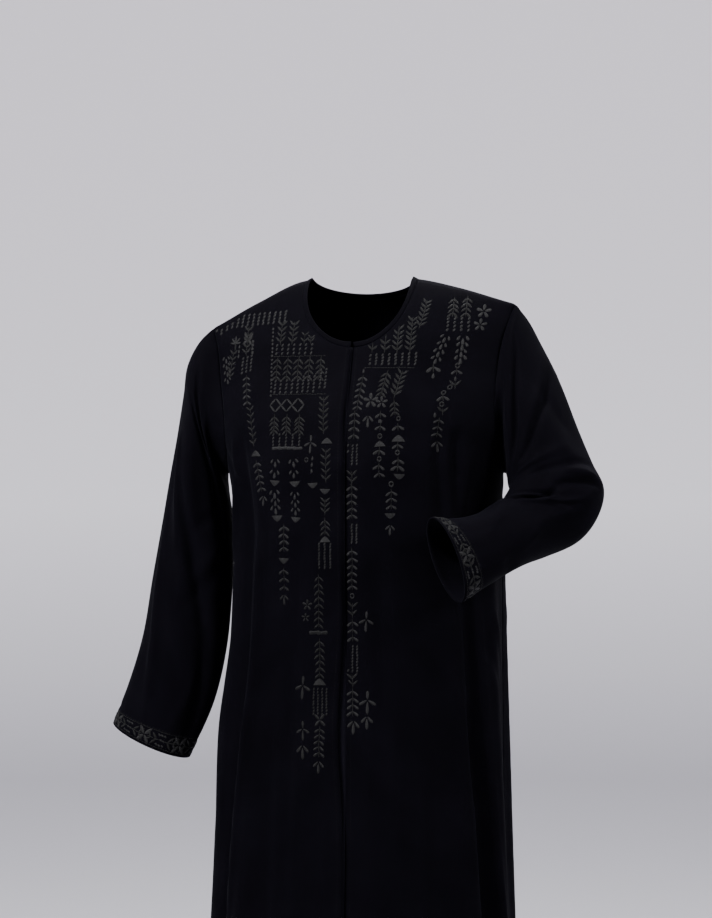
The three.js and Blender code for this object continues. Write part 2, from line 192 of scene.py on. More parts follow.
HEM_Z = -1415
CENTRE_Y = 5
NECK = {"half_width": 75, "side_z": 5, "front_z": -88, "back_z": -16}
BINDING = {"height": 8, "front_lean": 0.4, "shoulder_lean": 2}
ARMHOLE = {"underarm_z": -250, "front_cut": 25, "back_cut": 27}
CROWN = {"drop": 185, "power": 1.65}
SHOULDER_HALF_WIDTH = 203
FRONT_EDGE = {"right": 2.4, "left": 4}
EDGE_SWINGS = table("z width span", (-180, 2, 30), (-575, 8, 90))
UNDERLAP = {"width": 28, "sink": 5.5, "fade": 45}
ROWS = {"neck": 5, "armhole": 10, "skirt": 18}
COLUMNS = {"front": 14, "back_neck": 5}
LAST_ROW = ROWS["armhole"] + ROWS["skirt"]
BACK_COLUMNS = COLUMNS["front"] + COLUMNS["back_neck"]
SIGN = {"left": 1, "right": -1}

SHOULDER_LINE = {
    "left": table("x z", (0, 12), (75, 5), (129, -7), (203, -30)),
    "right": table("x z", (0, 12), (75, 5), (140, -23), (203, -58)),
}
SECTIONS = table(
    "z right left front back",
    (20, 203, 203, 104, 124),
    (-110, 203, 203, 116, 130),
    (-190, 190, 198, 136, 126),
    (-250, 178, 187, 146, 120),
    (-340, 167, 184, 146, 112),
    (-460, 168, 184, 141, 108),
    (-600, 179, 185, 142, 114),
    (-820, 185, 188, 150, 126),
    (-1415, 206, 209, 172, 150),
)
FOLD_RISE = 0.6
FOLDS = table(
    "top foot start_z height width",
    (51, 62, -340, 18, 8), (70, 86, -300, 24, 8), (100, 110, -280, 26, 9), (125, 133, -420, 28, 9),
    (150, 155, -360, 24, 8), (174, 177, -480, 28, 9), (-157, -160, -400, 25, 8),
    (-134, -138, -460, 28, 9), (-108, -114, -420, 26, 9), (-67, -86, -270, 26, 11),
    (-42, -55, -330, 20, 9), (8, 16, -760, 12, 9), (-12, -22, -800, 12, 9),
)
SLEEVES = {
    "right": table(
        "outer_x outer_z inner_x inner_z y depth dip",
        (-221, -74, -186, -252, 10, 50, 0), (-238, -105, -186, -260, 10, 54, 0),
        (-244, -146, -184, -270, 9, 57, 0), (-252, -200, -181, -287, 7, 58, 0),
        (-261, -254, -177, -313, 4, 57, 0), (-270, -314, -175, -350, -1, 55, 0),
        (-282, -391, -175, -409, -9, 51, 0), (-293, -467, -180, -482, -18, 47, 0),
        (-310, -529, -194, -552, -28, 42, 5), (-329, -581, -224, -625, -38, 36, 11),
    ),
    "left": table(
        "outer_x outer_z inner_x inner_z y depth dip",
        (213, -44, 198, -252, 8, 50, 0), (231, -76, 199, -260, 5, 54, 0),
        (259, -130, 201, -267, -2, 56, 0), (283, -187, 203, -273, -12, 56, 0),
        (307, -237, 202, -278, -25, 53, 0), (323, -269, 197, -284, -38, 50, 0),
        (318, -300, 189, -293, -46, 48, 0), (301, -325, 180, -301, -56, 46, 0),
        (269, -341, 169, -306, -75, 43, 0), (236, -359, 159, -309, -100, 39, 0),
        (199, -383, 140, -309, -128, 35, 0), (156, -412, 118, -305, -158, 31, 0),
    ),
}
SLEEVE_FOLDS = {
    "right": table(
        "start end turn end_turn height width",
        (2.2, 8.5, 62, 96, 6, 17), (3.4, 9.5, 118, 138, 5, 16), (4.0, 9.5, -70, -84, 6, 20),
    ),
    "left": table(
        "start end turn end_turn height width",
        (1.0, 6.4, 70, 44, 6, 17), (5.2, 11.0, 128, 112, 6, 18), (5.6, 10.5, 34, 58, 5, 16),
        (2.0, 8.0, -66, -92, 6, 20),
    ),
}
print("body sections:", len(SECTIONS), " folds:", len(FOLDS))


# %% [markdown]
# ## Smooth lines through the tables
# Between two rows of a table the cloth has to pass smoothly and never bulge past them. A plain spline
# overshoots, so each slope here is the harmonic mean of the two steps beside it, and is flat where
# the steps turn back.

# %% Smooth curve and short helpers
def curve(rows, key, column):
    place = np.array([row[key] for row in rows], float)
    value = np.array([row[column] for row in rows], float)
    sign = 1 if place[1] > place[0] else -1
    secant = np.diff(value) / np.diff(place)
    before = np.append(secant[:1], secant)
    after = np.append(secant, secant[-1:])
    slope = np.zeros(len(rows))
    same_way = before * after > 0
    slope[same_way] = (2 * before * after)[same_way] / (before + after)[same_way]

    def at(where):
        where = np.asarray(where, float)
        i = np.searchsorted(sign * place[1:-1], sign * where)
        span = place[i + 1] - place[i]
        t = np.clip((where - place[i]) / span, 0, 1)
        start = value[i] * (1 + 2 * t) + slope[i] * span * t
        end = value[i + 1] * (3 - 2 * t) - slope[i + 1] * span * (1 - t)
        return start * (1 - t) ** 2 + end * t ** 2

    return at


def lerp(start, end, t):
    return start + (end - start) * t


def smoothstep(where, low, high):
    t = np.clip((where - low) / (high - low), 0, 1)
    return t * t * (3 - 2 * t)


def turn_between(start, end):
    """The short way round from one angle to another, in degrees."""
    return (end - start + 180) % 360 - 180


def sin_deg(angle):
    return np.sin(np.radians(angle))


def cos_deg(angle):
    return np.cos(np.radians(angle))


shoulder_z = {side: curve(SHOULDER_LINE[side], "x", "z") for side in SIGN}
section = {column: curve(SECTIONS, "z", column) for column in ("left", "right", "front", "back")}
print("half width at the waist:", float(section["left"](-460)))

# %% [markdown]
# ## Creases
# Crepe is soft, so under its big folds it has many small creases: drags from the armholes and the bust,
# crushed lines in the bent elbow and long ones down the skirt, shallow in its middle and deep beside
# the side seams. They could be simulated, but a simulation would lose the worn form. Each is listed
# instead, as a soft ridge or trough along a line, deepest in its middle. No two are alike in
# length, depth and slant, and the hidden back and sides have their own.

# %% Crease tables
BODY_CREASES = table(
    "angle z end_angle end_z height width",
    (-54, -196, -60, -250, 4.0, 9), (-60, -238, -72, -365, 4.5, 11), (-74, -215, -50, -292, -3.0, 8),
    (-40, -150, -46, -235, -2.2, 9), (46, -196, 50, -262, -3.6, 8), (36, -206, 44, -318, -2.6, 9),
    (56, -216, 53, -300, 3.0, 9), (66, -250, 50, -345, -3.2, 9), (72, -430, 87, -505, 3.4, 8),
    (66, -470, 84, -548, -2.6, 7), (63, -440, 71, -830, -3.0, 7), (-60, -440, -69, -830, -3.2, 8),
    (-78, -450, -71, -700, 3.0, 9), (-18, -430, -23, -860, 2.6, 10), (-31, -520, -36, -1000, -2.4, 9),
    (21, -480, 25, -900, 2.8, 10), (36, -560, 41, -1090, -2.6, 9), (-8, -620, -6, -1120, 2.0, 9),
    (-29, -980, -35, -1412, 4.0, 10), (33, -940, 39, -1412, 4.2, 10), (-41, -1060, -45, -1412, -3.2, 8),
    (48, -1010, 51, -1412, -3.4, 8), (3, -1060, 1, -1412, -2.8, 9), (-70, -1040, -74, -1412, -4.0, 9),
    (74, -1000, 75, -1412, -4.0, 9), (92, -760, 97, -1300, 3.2, 10), (-96, -640, -101, -1250, 3.0, 10),
    (118, -330, 112, -470, -3.0, 10), (134, -150, 118, -262, -3.4, 11), (160, -110, 146, -300, -2.6, 11),
    (-132, -160, -116, -270, -3.2, 11), (-164, -130, -150, -330, -2.4, 11),
    (179, -190, 176, -520, 2.6, 12), (-172, -330, -169, -700, 3.0, 11), (164, -420, 166, -830, 3.0, 11),
    (142, -540, 143, -1010, -3.2, 10), (-146, -620, -148, -1180, -3.0, 10),
    (-122, -700, -126, -1330, 3.4, 10), (118, -860, 121, -1400, -3.4, 9),
    (167, -980, 166, -1412, 4.0, 10), (-172, -1040, -171, -1412, -3.6, 10),
    (-96, -380, -112, -470, 2.6, 9), (101, -420, 116, -520, 2.4, 9),
    (53, -320, 61, -680, -12, 12), (58, -540, 77, -1130, -15, 12), (61, -400, 70, -700, 6, 7),
    (67, -620, 79, -1000, 7, 7), (-51, -190, -57, -580, -11, 11), (-55, -460, -66, -1060, -14, 11),
    (-41, -250, -46, -650, 6, 8), (-45, -540, -62, -1010, 7, 8), (14, -300, 17, -760, -4, 14),
    (-20, -330, -25, -900, -4.5, 14), (38, -160, 43, -330, -5, 9), (45, -190, 52, -320, -5, 8),
)
SLEEVE_CREASES = {
    "right": table(
        "station turn end_station end_turn height width",
        (0.9, 96, 3.3, 128, 3.4, 8), (1.1, 116, 3.9, 150, -3.2, 8), (1.7, 138, 4.4, 170, 2.8, 9),
        (1.2, -100, 3.6, -140, 3.0, 9), (1.8, -124, 4.2, -164, -2.6, 9), (4.8, 150, 6.0, 92, -2.6, 8),
        (5.6, 164, 7.0, 98, 2.6, 9), (6.4, 150, 7.6, 84, -2.2, 8), (7.0, 40, 9.2, 74, 2.0, 9),
        (3.2, 28, 6.6, 52, -2.0, 10), (8.3, 128, 9.9, 110, 1.8, 8), (6.0, -160, 7.3, -96, -2.4, 9),
        (4.9, -40, 8.4, -62, 2.2, 10), (7.9, -112, 9.8, -130, 1.8, 8), (2.6, 4, 5.8, -14, 1.8, 11),
        (1.0, 52, 2.7, 114, -8, 8), (2.0, 62, 3.8, 130, -8, 8), (3.4, 122, 6.4, 147, -8, 9),
        (4.8, 60, 7.7, 125, -8, 9), (6.9, 118, 9.8, 148, -8, 13), (6.0, 38, 9.6, 72, 4.5, 8),
        (3.7, 36, 6.5, 76, 5, 7),
    ),
    "left": table(
        "station turn end_station end_turn height width",
        (1.0, 104, 3.0, 142, -3.4, 9), (1.3, 84, 3.7, 118, 3.2, 9), (2.2, 52, 4.4, 24, -2.4, 9),
        (3.1, 132, 4.9, 168, 2.8, 9), (5.6, 118, 5.25, 14, -4.6, 7), (5.9, 20, 5.75, 72, 4.2, 6),
        (4.9, 128, 4.75, 44, 3.2, 8), (6.9, 128, 7.0, 62, -3.2, 7), (7.4, 108, 8.4, 44, 2.6, 8),
        (8.1, 132, 9.3, 84, -2.6, 8), (9.0, 62, 10.4, 34, 2.4, 8), (9.5, 118, 10.9, 92, 2.0, 8),
        (5.7, -158, 5.3, -62, -4.0, 8), (6.4, -150, 6.2, -70, 3.0, 9), (4.6, -142, 4.5, -72, 2.8, 9),
        (1.4, -96, 3.6, -136, 3.0, 9), (7.4, -136, 9.0, -104, -2.4, 9), (8.8, -60, 10.6, -76, 2.2, 9),
        (9.8, 164, 11.0, 176, -1.8, 8), (2.8, -20, 4.8, -34, -2.0, 10),
        (0.9, 26, 3.7, 120, -8, 7), (2.7, 6, 4.3, 112, -8, 7), (2.3, 4, 3.8, 86, 5, 7),
        (6.1, 16, 6.4, 84, -8, 7), (6.3, 74, 9.0, 124, -7.5, 7), (6.6, 36, 9.0, 114, 4.5, 7),
        (10.6, 6, 10.8, 44, -3.5, 7),
    ),
}
CREASE_FADE = 0.7
CROWN_FADE = (0.1, 0.5)
MM_PER_DEGREE = {"body": 3.0, "sleeve": 1.15}
MM_PER_STATION = 46


def crease_lift(creases, across, down):
    """Height of all creases where the cloth is `across` and `down` millimetres from its start."""
    lift = np.zeros(np.broadcast(across, down).shape)
    for (x0, y0), (x1, y1), height, width in creases:
        span = np.array([x1 - x0, y1 - y0])
        length = float(np.hypot(*span))
        t = np.clip(((across - x0) * span[0] + (down - y0) * span[1]) / length ** 2, 0, 1)
        away = np.hypot(across - x0 - t * span[0], down - y0 - t * span[1])
        lift += height * (4 * t * (1 - t)) ** CREASE_FADE * np.exp(-((away / width) ** 2))
    return lift


def crease_lines(rows, across, down, mm_across, mm_down=1):
    """Each crease three times, a whole turn apart, so that it counts on both sides of the join."""
    for row in rows:
        for whole_turn in (-360, 0, 360):
            yield (((row[across] + whole_turn) * mm_across, row[down] * mm_down),
                   ((row[f"end_{across}"] + whole_turn) * mm_across, row[f"end_{down}"] * mm_down),
                   row["height"], row["width"])


BODY_LINES = list(crease_lines(BODY_CREASES, "angle", "z", MM_PER_DEGREE["body"]))
sleeve_creases = sum(map(len, SLEEVE_CREASES.values()))
print("creases:", len(BODY_CREASES), "on the body,", sleeve_creases, "on the sleeves")

# %% [markdown]
# ## The form of the body
# Every point of the body has an angle round it and a height. The level round gives its place, the
# shoulder line rounds it over at the top, and the folds and creases lift it off.

# %% A point of the body
def fold_lift(angle, z):
    lift = np.zeros(np.broadcast(angle, z).shape)
    for fold in FOLDS:
        t = np.clip((fold["start_z"] - z) / (fold["start_z"] - HEM_Z), 0, 1)
        away = turn_between(lerp(fold["top"], fold["foot"], t), angle)
        lift += fold["height"] * t ** FOLD_RISE * np.exp(-((away / fold["width"]) ** 2))
    return lift


def body_point(side, angle, z, sink=0.0):
    depth = np.where(cos_deg(angle) > 0, section["front"](z), section["back"](z))
    x = section[side](z) * sin_deg(angle)
    drop = np.clip((shoulder_z[side](np.abs(x)) - z) / CROWN["drop"], 0, 1)
    crown = (1 - (1 - drop) ** CROWN["power"]) ** (1 / CROWN["power"])
    creases = crease_lift(BODY_LINES, angle * MM_PER_DEGREE["body"], z)
    lift = fold_lift(angle, z) + creases * smoothstep(drop, *CROWN_FADE)
    y = CENTRE_Y - depth * cos_deg(angle) * crown - lift * cos_deg(angle) + sink
    return np.stack([x + lift * sin_deg(angle), y, z + 0 * x], axis=-1)


def front_edge_x(side, z):
    if side == "left":
        return FRONT_EDGE["left"] + 0 * z
    return FRONT_EDGE["right"] - sum(swing["width"] * np.exp(-(((z - swing["z"]) / swing["span"]) ** 2))
                                     for swing in EDGE_SWINGS)


def angle_at(x, side, z):
    return np.degrees(np.arcsin(x / section[side](z)))


def underlap_sink(x):
    return UNDERLAP["sink"] * (1 - smoothstep(x, FRONT_EDGE["left"], UNDERLAP["fade"]))


print("hem at the left side:", body_point("left", np.array(90.0), np.array(float(HEM_Z))).round(1))

# %% [markdown]
# ## Fronts and back
# Each panel is a net of rows and columns. The rows start at the shoulder seam, pass the neck and the
# armhole and go on to the hem. The columns run from the front edge or the middle of the back to the
# armhole and the side seam. Both panels use the same rows at a seam, so their edges meet exactly.

# %% Rows and columns of a panel
FINE = {"upper": 5, "skirt": 11, "columns": 4, "round": 5, "station": 9}
upper_rows = np.linspace(0, ROWS["armhole"], ROWS["armhole"] * FINE["upper"] + 1)
skirt_rows = np.linspace(ROWS["armhole"], LAST_ROW, ROWS["skirt"] * FINE["skirt"] + 1)
row_steps = np.append(upper_rows, skirt_rows[1:])[:, None]


def outer_end(side, row, cut):
    """Angle and height where a row meets the armhole or, below it, the side seam."""
    turn = 180 * np.clip(row / ROWS["armhole"], 0, 1)
    tip_z = shoulder_z[side](SHOULDER_HALF_WIDTH)
    armhole_z = lerp(tip_z, ARMHOLE["underarm_z"], (1 - cos_deg(turn)) / 2)
    below = np.clip((row - ROWS["armhole"]) / ROWS["skirt"], 0, 1)
    z = np.where(row > ROWS["armhole"], lerp(ARMHOLE["underarm_z"], HEM_Z, below), armhole_z)
    return 90 - cut * sin_deg(turn), z


def front_inner_end(side, row):
    """Place and height where a row meets the neckline or, below it, the front edge."""
    turn = 90 * np.clip(row / ROWS["neck"], 0, 1)
    edge_x = front_edge_x(side, NECK["front_z"])
    neck_x = lerp(edge_x, SIGN[side] * NECK["half_width"], cos_deg(turn))
    neck_z = lerp(NECK["side_z"], NECK["front_z"], sin_deg(turn))
    bust = (row - ROWS["neck"]) / (ROWS["armhole"] - ROWS["neck"])
    bust_z = lerp(NECK["front_z"], ARMHOLE["underarm_z"], bust)
    z = np.where(row < ROWS["armhole"], bust_z, outer_end(side, row, 0)[1])
    on_neck = row <= ROWS["neck"]
    return np.where(on_neck, neck_x, front_edge_x(side, z)), np.where(on_neck, neck_z, z)


def front_net(side):
    across = np.linspace(0, 1, COLUMNS["front"] * FINE["columns"] + 1)[None, :]
    outer_angle, outer_z = outer_end(side, row_steps, ARMHOLE["front_cut"])
    inner_x, inner_z = front_inner_end(side, row_steps)
    angle = lerp(angle_at(inner_x, side, inner_z), SIGN[side] * outer_angle, across)
    x = section[side](outer_z) * sin_deg(angle)
    inner_drop = shoulder_z[side](np.abs(inner_x)) - inner_z
    outer_drop = shoulder_z[side](SHOULDER_HALF_WIDTH) - outer_z
    hung = shoulder_z[side](np.abs(x)) - lerp(inner_drop, outer_drop, across)
    level = smoothstep(row_steps, 0, ROWS["armhole"])
    z = lerp(hung, lerp(inner_z, outer_z, across), level)
    return body_point(side, angle, z, underlap_sink(x) if side == "left" else 0.0)


def back_half(side):
    """The back from its middle out to one side seam."""
    step = np.linspace(0, BACK_COLUMNS, BACK_COLUMNS * FINE["columns"] + 1)[None, :]
    outer_angle, outer_z = outer_end(side, row_steps, ARMHOLE["back_cut"])
    neck_turn = 90 * np.clip(step / COLUMNS["back_neck"], 0, 1)
    on_neck = step < COLUMNS["back_neck"]
    neck_angle = angle_at(NECK["half_width"] * sin_deg(neck_turn), "left", 0)
    shoulder_step = (step - COLUMNS["back_neck"]) / COLUMNS["front"]
    seam_angle = lerp(angle_at(NECK["half_width"], "left", 0), 90, shoulder_step)
    top_angle = np.where(on_neck, neck_angle, seam_angle)
    neck_z = lerp(NECK["side_z"], NECK["back_z"], cos_deg(neck_turn))
    seam_z = shoulder_z[side](SHOULDER_HALF_WIDTH * sin_deg(top_angle))
    across = step / BACK_COLUMNS
    level = smoothstep(row_steps, 0, ROWS["armhole"])
    outward = lerp(top_angle, 90 * across, level) - (90 - outer_angle) * across ** 2
    tip_z = shoulder_z[side](SHOULDER_HALF_WIDTH)
    middle_z = lerp(NECK["back_z"], ARMHOLE["underarm_z"], row_steps / ROWS["armhole"])
    middle_z = np.where(row_steps > ROWS["armhole"], outer_z, middle_z)
    hung = np.where(on_neck, neck_z, seam_z) - lerp(NECK["back_z"] - middle_z, tip_z - outer_z, across)
    z = lerp(hung, lerp(middle_z, outer_z, across), level)
    return body_point(side, SIGN[side] * (180 - outward), z)


nets = {"right_front": front_net("right"), "left_front": front_net("left")}
nets["back"] = np.concatenate([back_half("right")[:, :0:-1], back_half("left")], axis=1)
print({name: net.shape[:2] for name, net in nets.items()})

# %% [markdown]
# ## Sleeves
# A sleeve is a tube of flattened rings. Its first ring is the armhole itself, taken from the edges of
# the front and the back, so that the seam closes. The other rings come from the table, and a smooth
# line runs down the arm through each ring's matching points. The left one turns at the elbow.

# %% Rings and tube of a sleeve
def sleeve_ring(stations, index, count):
    outer, inner = (np.array([(s[f"{edge}_x"], s["y"], s[f"{edge}_z"]) for s in stations], float)
                    for edge in ("outer", "inner"))
    centres = (outer + inner) / 2
    station = stations[index]
    before, after = centres[max(index - 1, 0)], centres[min(index + 1, len(stations) - 1)]
    reach = (outer[index] - inner[index]) / 2
    forward = np.cross(after - before, reach)
    forward *= station["depth"] / np.linalg.norm(forward)
    if station["outer_x"] < 0:
        forward = -forward
    forward = forward - [0, 0, station["dip"]]
    turn = (360 * np.arange(count) / count)[:, None]
    return centres[index] + reach * cos_deg(turn) + forward * sin_deg(turn)


def smooth_line(points, steps):
    """A line through a list of points with even bends, in `steps` parts between each two."""
    ends = [2 * points[0] - points[1]], [2 * points[-1] - points[-2]]
    padded = np.concatenate([ends[0], points, ends[1]])
    gap = np.linalg.norm(np.diff(padded, axis=0), axis=-1, keepdims=True) ** 0.5
    line = []
    for i in range(1, len(padded) - 2):
        p0, p1, p2, p3 = padded[i - 1:i + 3]
        d0, d1, d2 = gap[i - 1:i + 2]
        start = ((p1 - p0) / d0 - (p2 - p0) / (d0 + d1) + (p2 - p1) / d1) * d1
        end = ((p2 - p1) / d1 - (p3 - p1) / (d1 + d2) + (p3 - p2) / d2) * d1
        for t in np.arange(steps) / steps:
            line.append(p1 + start * t + (-3 * p1 + 3 * p2 - 2 * start - end) * t ** 2
                        + (2 * p1 - 2 * p2 + start + end) * t ** 3)
    return np.array(line + [points[-1]])


def sleeve_net(side, front, back):
    upper = ROWS["armhole"] * FINE["upper"]
    seam = -1 if side == "left" else 0
    armhole = np.concatenate([front[:upper + 1, -1], back[upper - 1:0:-1, seam]])
    count = len(armhole)
    rings = [armhole] + [sleeve_ring(SLEEVES[side], index, count) for index in range(len(SLEEVES[side]))]
    net = smooth_line(np.array(rings), FINE["station"])
    station = (np.arange(len(net)) / FINE["station"])[:, None]
    turn = (360 * np.arange(count) / count)[None, :]
    lift = np.zeros(net.shape[:2])
    for fold in SLEEVE_FOLDS[side]:
        t = np.clip((station - fold["start"]) / (fold["end"] - fold["start"]), 0, 1)
        away = turn_between(lerp(fold["turn"], fold["end_turn"], t), turn)
        lift += fold["height"] * np.sin(np.pi * t) * np.exp(-((away / fold["width"]) ** 2))
    mm_round = MM_PER_DEGREE["sleeve"]
    lines = list(crease_lines(SLEEVE_CREASES[side], "turn", "station", mm_round, MM_PER_STATION))
    lift += crease_lift(lines, turn * mm_round, station * MM_PER_STATION)
    outward = net - net.mean(axis=1, keepdims=True)
    outward /= np.linalg.norm(outward, axis=-1, keepdims=True)
    net = net + outward * lift[..., None]
    return np.concatenate([net, net[:, :1]], axis=1)


for side in SIGN:
    nets[f"{side}_sleeve"] = sleeve_net(side, nets[f"{side}_front"], nets["back"])
print({name: net.shape[:2] for name, net in nets.items() if "sleeve" in name})

# %% [markdown]
# ## Neck binding and underlap
# The raw neckline is bound with a strip of the same crepe cut on the bias: it goes up one side, over
# the edge and down the other. The left front ends in a plain strip that stays behind the right front,
# so that the opening never gapes.

# %% Nets of the two strips
FOLDED = table("part aside", (0, 0.0), (0.35, 0.25), (0.8, 0.3), (0.95, 0.1), (1, -0.45),
               (0.95, -1.0), (0.8, -1.25), (0.35, -1.3), (0.05, -1.2))


def binding_net():
    neck_rows = ROWS["neck"] * FINE["upper"]
    half = COLUMNS["back_neck"] * FINE["columns"]
    middle = BACK_COLUMNS * FINE["columns"]
    line = np.concatenate([
        nets["right_front"][neck_rows:0:-1, 0],
        nets["back"][0, middle - half:middle + half + 1],
        nets["left_front"][1:neck_rows + 1, 0],
    ])
    inward = line * [-1, -1, 0]
    inward /= np.linalg.norm(inward, axis=1, keepdims=True)
    rise = (line[:, 2:] - NECK["front_z"]) / (NECK["side_z"] - NECK["front_z"])
    lean = lerp(BINDING["front_lean"], BINDING["shoulder_lean"], rise ** 3)
    slant = np.hypot(lean, 1)
    up, out = (inward * lean + [0, 0, 1]) / slant, ([0, 0, 1] * lean - inward) / slant
    return np.array([line + up * BINDING["height"] * row["part"] + out * row["aside"]
                     for row in FOLDED])


def underlap_net():
    first = ROWS["neck"] * FINE["upper"]
    edge = nets["left_front"][first:, 0]
    x = edge[:, :1] - UNDERLAP["width"] * np.linspace(1, 0, 9)[None, :]
    z = edge[:, 2:] + 0 * x
    right = body_point("right", angle_at(x, "right", z), z, UNDERLAP["sink"])
    left = body_point("left", angle_at(x, "left", z), z, UNDERLAP["sink"])
    return np.where((x < 0)[..., None], right, left)


nets["neck_binding"] = binding_net()
nets["underlap"] = underlap_net()
neckline = np.linalg.norm(np.diff(nets["neck_binding"][0], axis=0), axis=1).sum()
print("neckline:", round(float(neckline)), "mm")

# %% [markdown]
# ## Seams and hems
# The thread of a seam pulls it tight, so the cloth swells a little on both sides of it and puckers.
# A hem is a double turn: the edge is thicker, and a shallow line shows where it is stitched down.
# These are too small for the tables. The nets are lifted beside their edges instead, and the edges
# stay where they are, so that the seams stay closed.

# %% Swell the seams and mark the hems
SEAM = {"rise": 0.8, "groove": 2.5, "reach": 14, "pucker": 0.45, "pucker_from": 5}
PUCKER_WAVES = table("height wave shift", (1, 4.7, 0), (0.7, 8.9, 1.3))
HEM = {"skirt": 22, "sleeve": 24, "dip": 0.7, "width": 4}


def outward_of(name):
    """The direction across the face of a net, at each of its points."""
    net = nets[name]
    across = np.gradient(net, axis=1)
    if "sleeve" in name:
        across[:, 0] = across[:, -1] = net[:, 1] - net[:, -2]
    normal = np.cross(across, np.gradient(net, axis=0))
    return normal / np.maximum(np.linalg.norm(normal, axis=-1, keepdims=True), 1e-9)


def faces_out(name):
    """1 where a net's own face already points out of the garment, and -1 where it points in."""
    net = nets[name]
    spread = net - net.mean(axis=1, keepdims=True) if "sleeve" in name else net * [1, 1, 0]
    rows = slice(0, 3) if name == "neck_binding" else slice(None)
    return float(np.sign(np.median((outward_of(name) * spread).sum(axis=-1)[rows])))


def distance_in(net, axis, from_end=False):
    """How far each point is from one edge of its net, measured on the cloth."""
    step = np.linalg.norm(np.diff(net, axis=axis), axis=-1)
    start = np.zeros_like(np.take(step, [0], axis=axis))
    walked = np.concatenate([start, np.cumsum(step, axis=axis)], axis=axis)
    return np.take(walked, [-1], axis=axis) - walked if from_end else walked


def seam_swell(name, axis, from_end):
    net = nets[name]
    away = distance_in(net, axis, from_end)
    along = distance_in(net, 1 - axis)
    swell = SEAM["rise"] * (1 - np.exp(-((away / SEAM["groove"]) ** 2))) * np.exp(-away / SEAM["reach"])
    ripple = sum(row["height"] * np.sin(along / row["wave"] + row["shift"]) for row in PUCKER_WAVES)
    start = np.clip(away / SEAM["pucker_from"], 0, 1)
    return swell + SEAM["pucker"] * ripple * np.exp(-away / SEAM["reach"]) * start


def hem_dip(name, depth):
    away = distance_in(nets[name], 0, from_end=True)
    return -HEM["dip"] * np.exp(-(((away - depth) / HEM["width"]) ** 2))


facing = {name: faces_out(name) for name in nets}
SEWN_EDGES = {
    "right_front": [(0, False), (1, True)], "left_front": [(0, False), (1, True)],
    "back": [(0, False), (1, False), (1, True)],
    "right_sleeve": [(0, False)], "left_sleeve": [(0, False)],
}
for name, edges in SEWN_EDGES.items():
    lift = sum(seam_swell(name, axis, from_end) for axis, from_end in edges)
    lift = lift + hem_dip(name, HEM["sleeve"] if "sleeve" in name else HEM["skirt"])
    nets[name] = nets[name] + facing[name] * outward_of(name) * lift[..., None]
normals = {name: facing[name] * outward_of(name) for name in nets}
print("nets that face out:", {name: int(way) for name, way in facing.items()})

# %% [markdown]
# ## Crepe
# Crepe is woven from yarns twisted so hard that they shrink back, which leaves a fine pebbled face and
# takes away the shine. Black crepe is a shade darker in its pits. A picture of the weave would need a
# file. Noise for the pebbles over two crossed sets of bands for the yarns does the same at any
# distance, and one node group serves the crepe, the binding and the smoother underlap.

# %% Node group: woven grain
def mix_numbers(tree, first, second, share):
    """first * (1 - share) + second * share"""
    node = add_node(tree, "ShaderNodeMix", {"Factor": share}, data_type="FLOAT")
    tree.links.new(first, node.inputs["A"])
    tree.links.new(second, node.inputs["B"])
    return node.outputs["Result"]


def woven_grain_group():
    tree = bpy.data.node_groups.new("woven_grain", "ShaderNodeTree")
    for name, kind, value in (("Place", "NodeSocketVector", None), ("Pebbles", "NodeSocketFloat", 1.2),
                              ("Yarns", "NodeSocketFloat", 0.5)):
        socket = tree.interface.new_socket(name=name, in_out="INPUT", socket_type=kind)
        if value is not None:
            socket.default_value = value
    for name in ("Height", "Shade"):
        tree.interface.new_socket(name=name, in_out="OUTPUT", socket_type="NodeSocketFloat")
    start, end = add_node(tree, "NodeGroupInput"), add_node(tree, "NodeGroupOutput")
    pebbles = add_node(tree, "ShaderNodeTexNoise", {"Detail": 3, "Distortion": 0.6})
    tree.links.new(start.outputs["Place"], pebbles.inputs["Vector"])
    tree.links.new(start.outputs["Pebbles"], pebbles.inputs["Scale"])
    yarns = []
    for direction in ("X", "Y"):
        wave = add_node(tree, "ShaderNodeTexWave", {"Distortion": 1.4, "Detail": 1},
                        wave_type="BANDS", bands_direction=direction)
        tree.links.new(start.outputs["Place"], wave.inputs["Vector"])
        tree.links.new(start.outputs["Yarns"], wave.inputs["Scale"])
        yarns.append(wave.outputs["Fac"])
    weave = mix_numbers(tree, yarns[0], yarns[1], 0.5)
    height = mix_numbers(tree, pebbles.outputs["Fac"], weave, 0.4)
    cloudy = add_node(tree, "ShaderNodeTexNoise", {"Scale": 0.012, "Detail": 2})
    tree.links.new(start.outputs["Place"], cloudy.inputs["Vector"])
    tree.links.new(height, end.inputs["Height"])
    tree.links.new(mix_numbers(tree, height, cloudy.outputs["Fac"], 0.45), end.inputs["Shade"])
    return tree


woven_grain = woven_grain_group()
print("inputs of woven_grain:", [item.name for item in woven_grain.interface.items_tree])

# %% [markdown]
# ## Cloth finishes
# The grain is pressed into the surface with a Bump node and lightens the raised yarns. The mirror
# reflection is turned almost off, because on black cloth even a little of it looks like satin. A
# faint, cool sheen stands for the loose fibres that catch light at the garment's edges.

# %% Cloth materials
def new_surface(name, specular, sheen, sheen_roughness, sheen_tint):
    material = bpy.data.materials.new(name)
    material.use_nodes = True
    surface = material.node_tree.nodes["Principled BSDF"]
    set_inputs(surface, {"Specular IOR Level": specular, "Sheen Weight": sheen,
                         "Sheen Roughness": sheen_roughness, "Sheen Tint": (*sheen_tint, 1)})
    return material, material.node_tree, surface


def colour_between(tree, surface, share, stops):
    """Colour the surface from the first stop to the second as the share goes up."""
    shade = add_node(tree, "ShaderNodeValToRGB")
    for element, (position, colour) in zip(shade.color_ramp.elements, stops):
        element.position = position
        element.color = (*colour, 1)
    tree.links.new(share, shade.inputs["Fac"])
    tree.links.new(shade.outputs["Color"], surface.inputs["Base Color"])


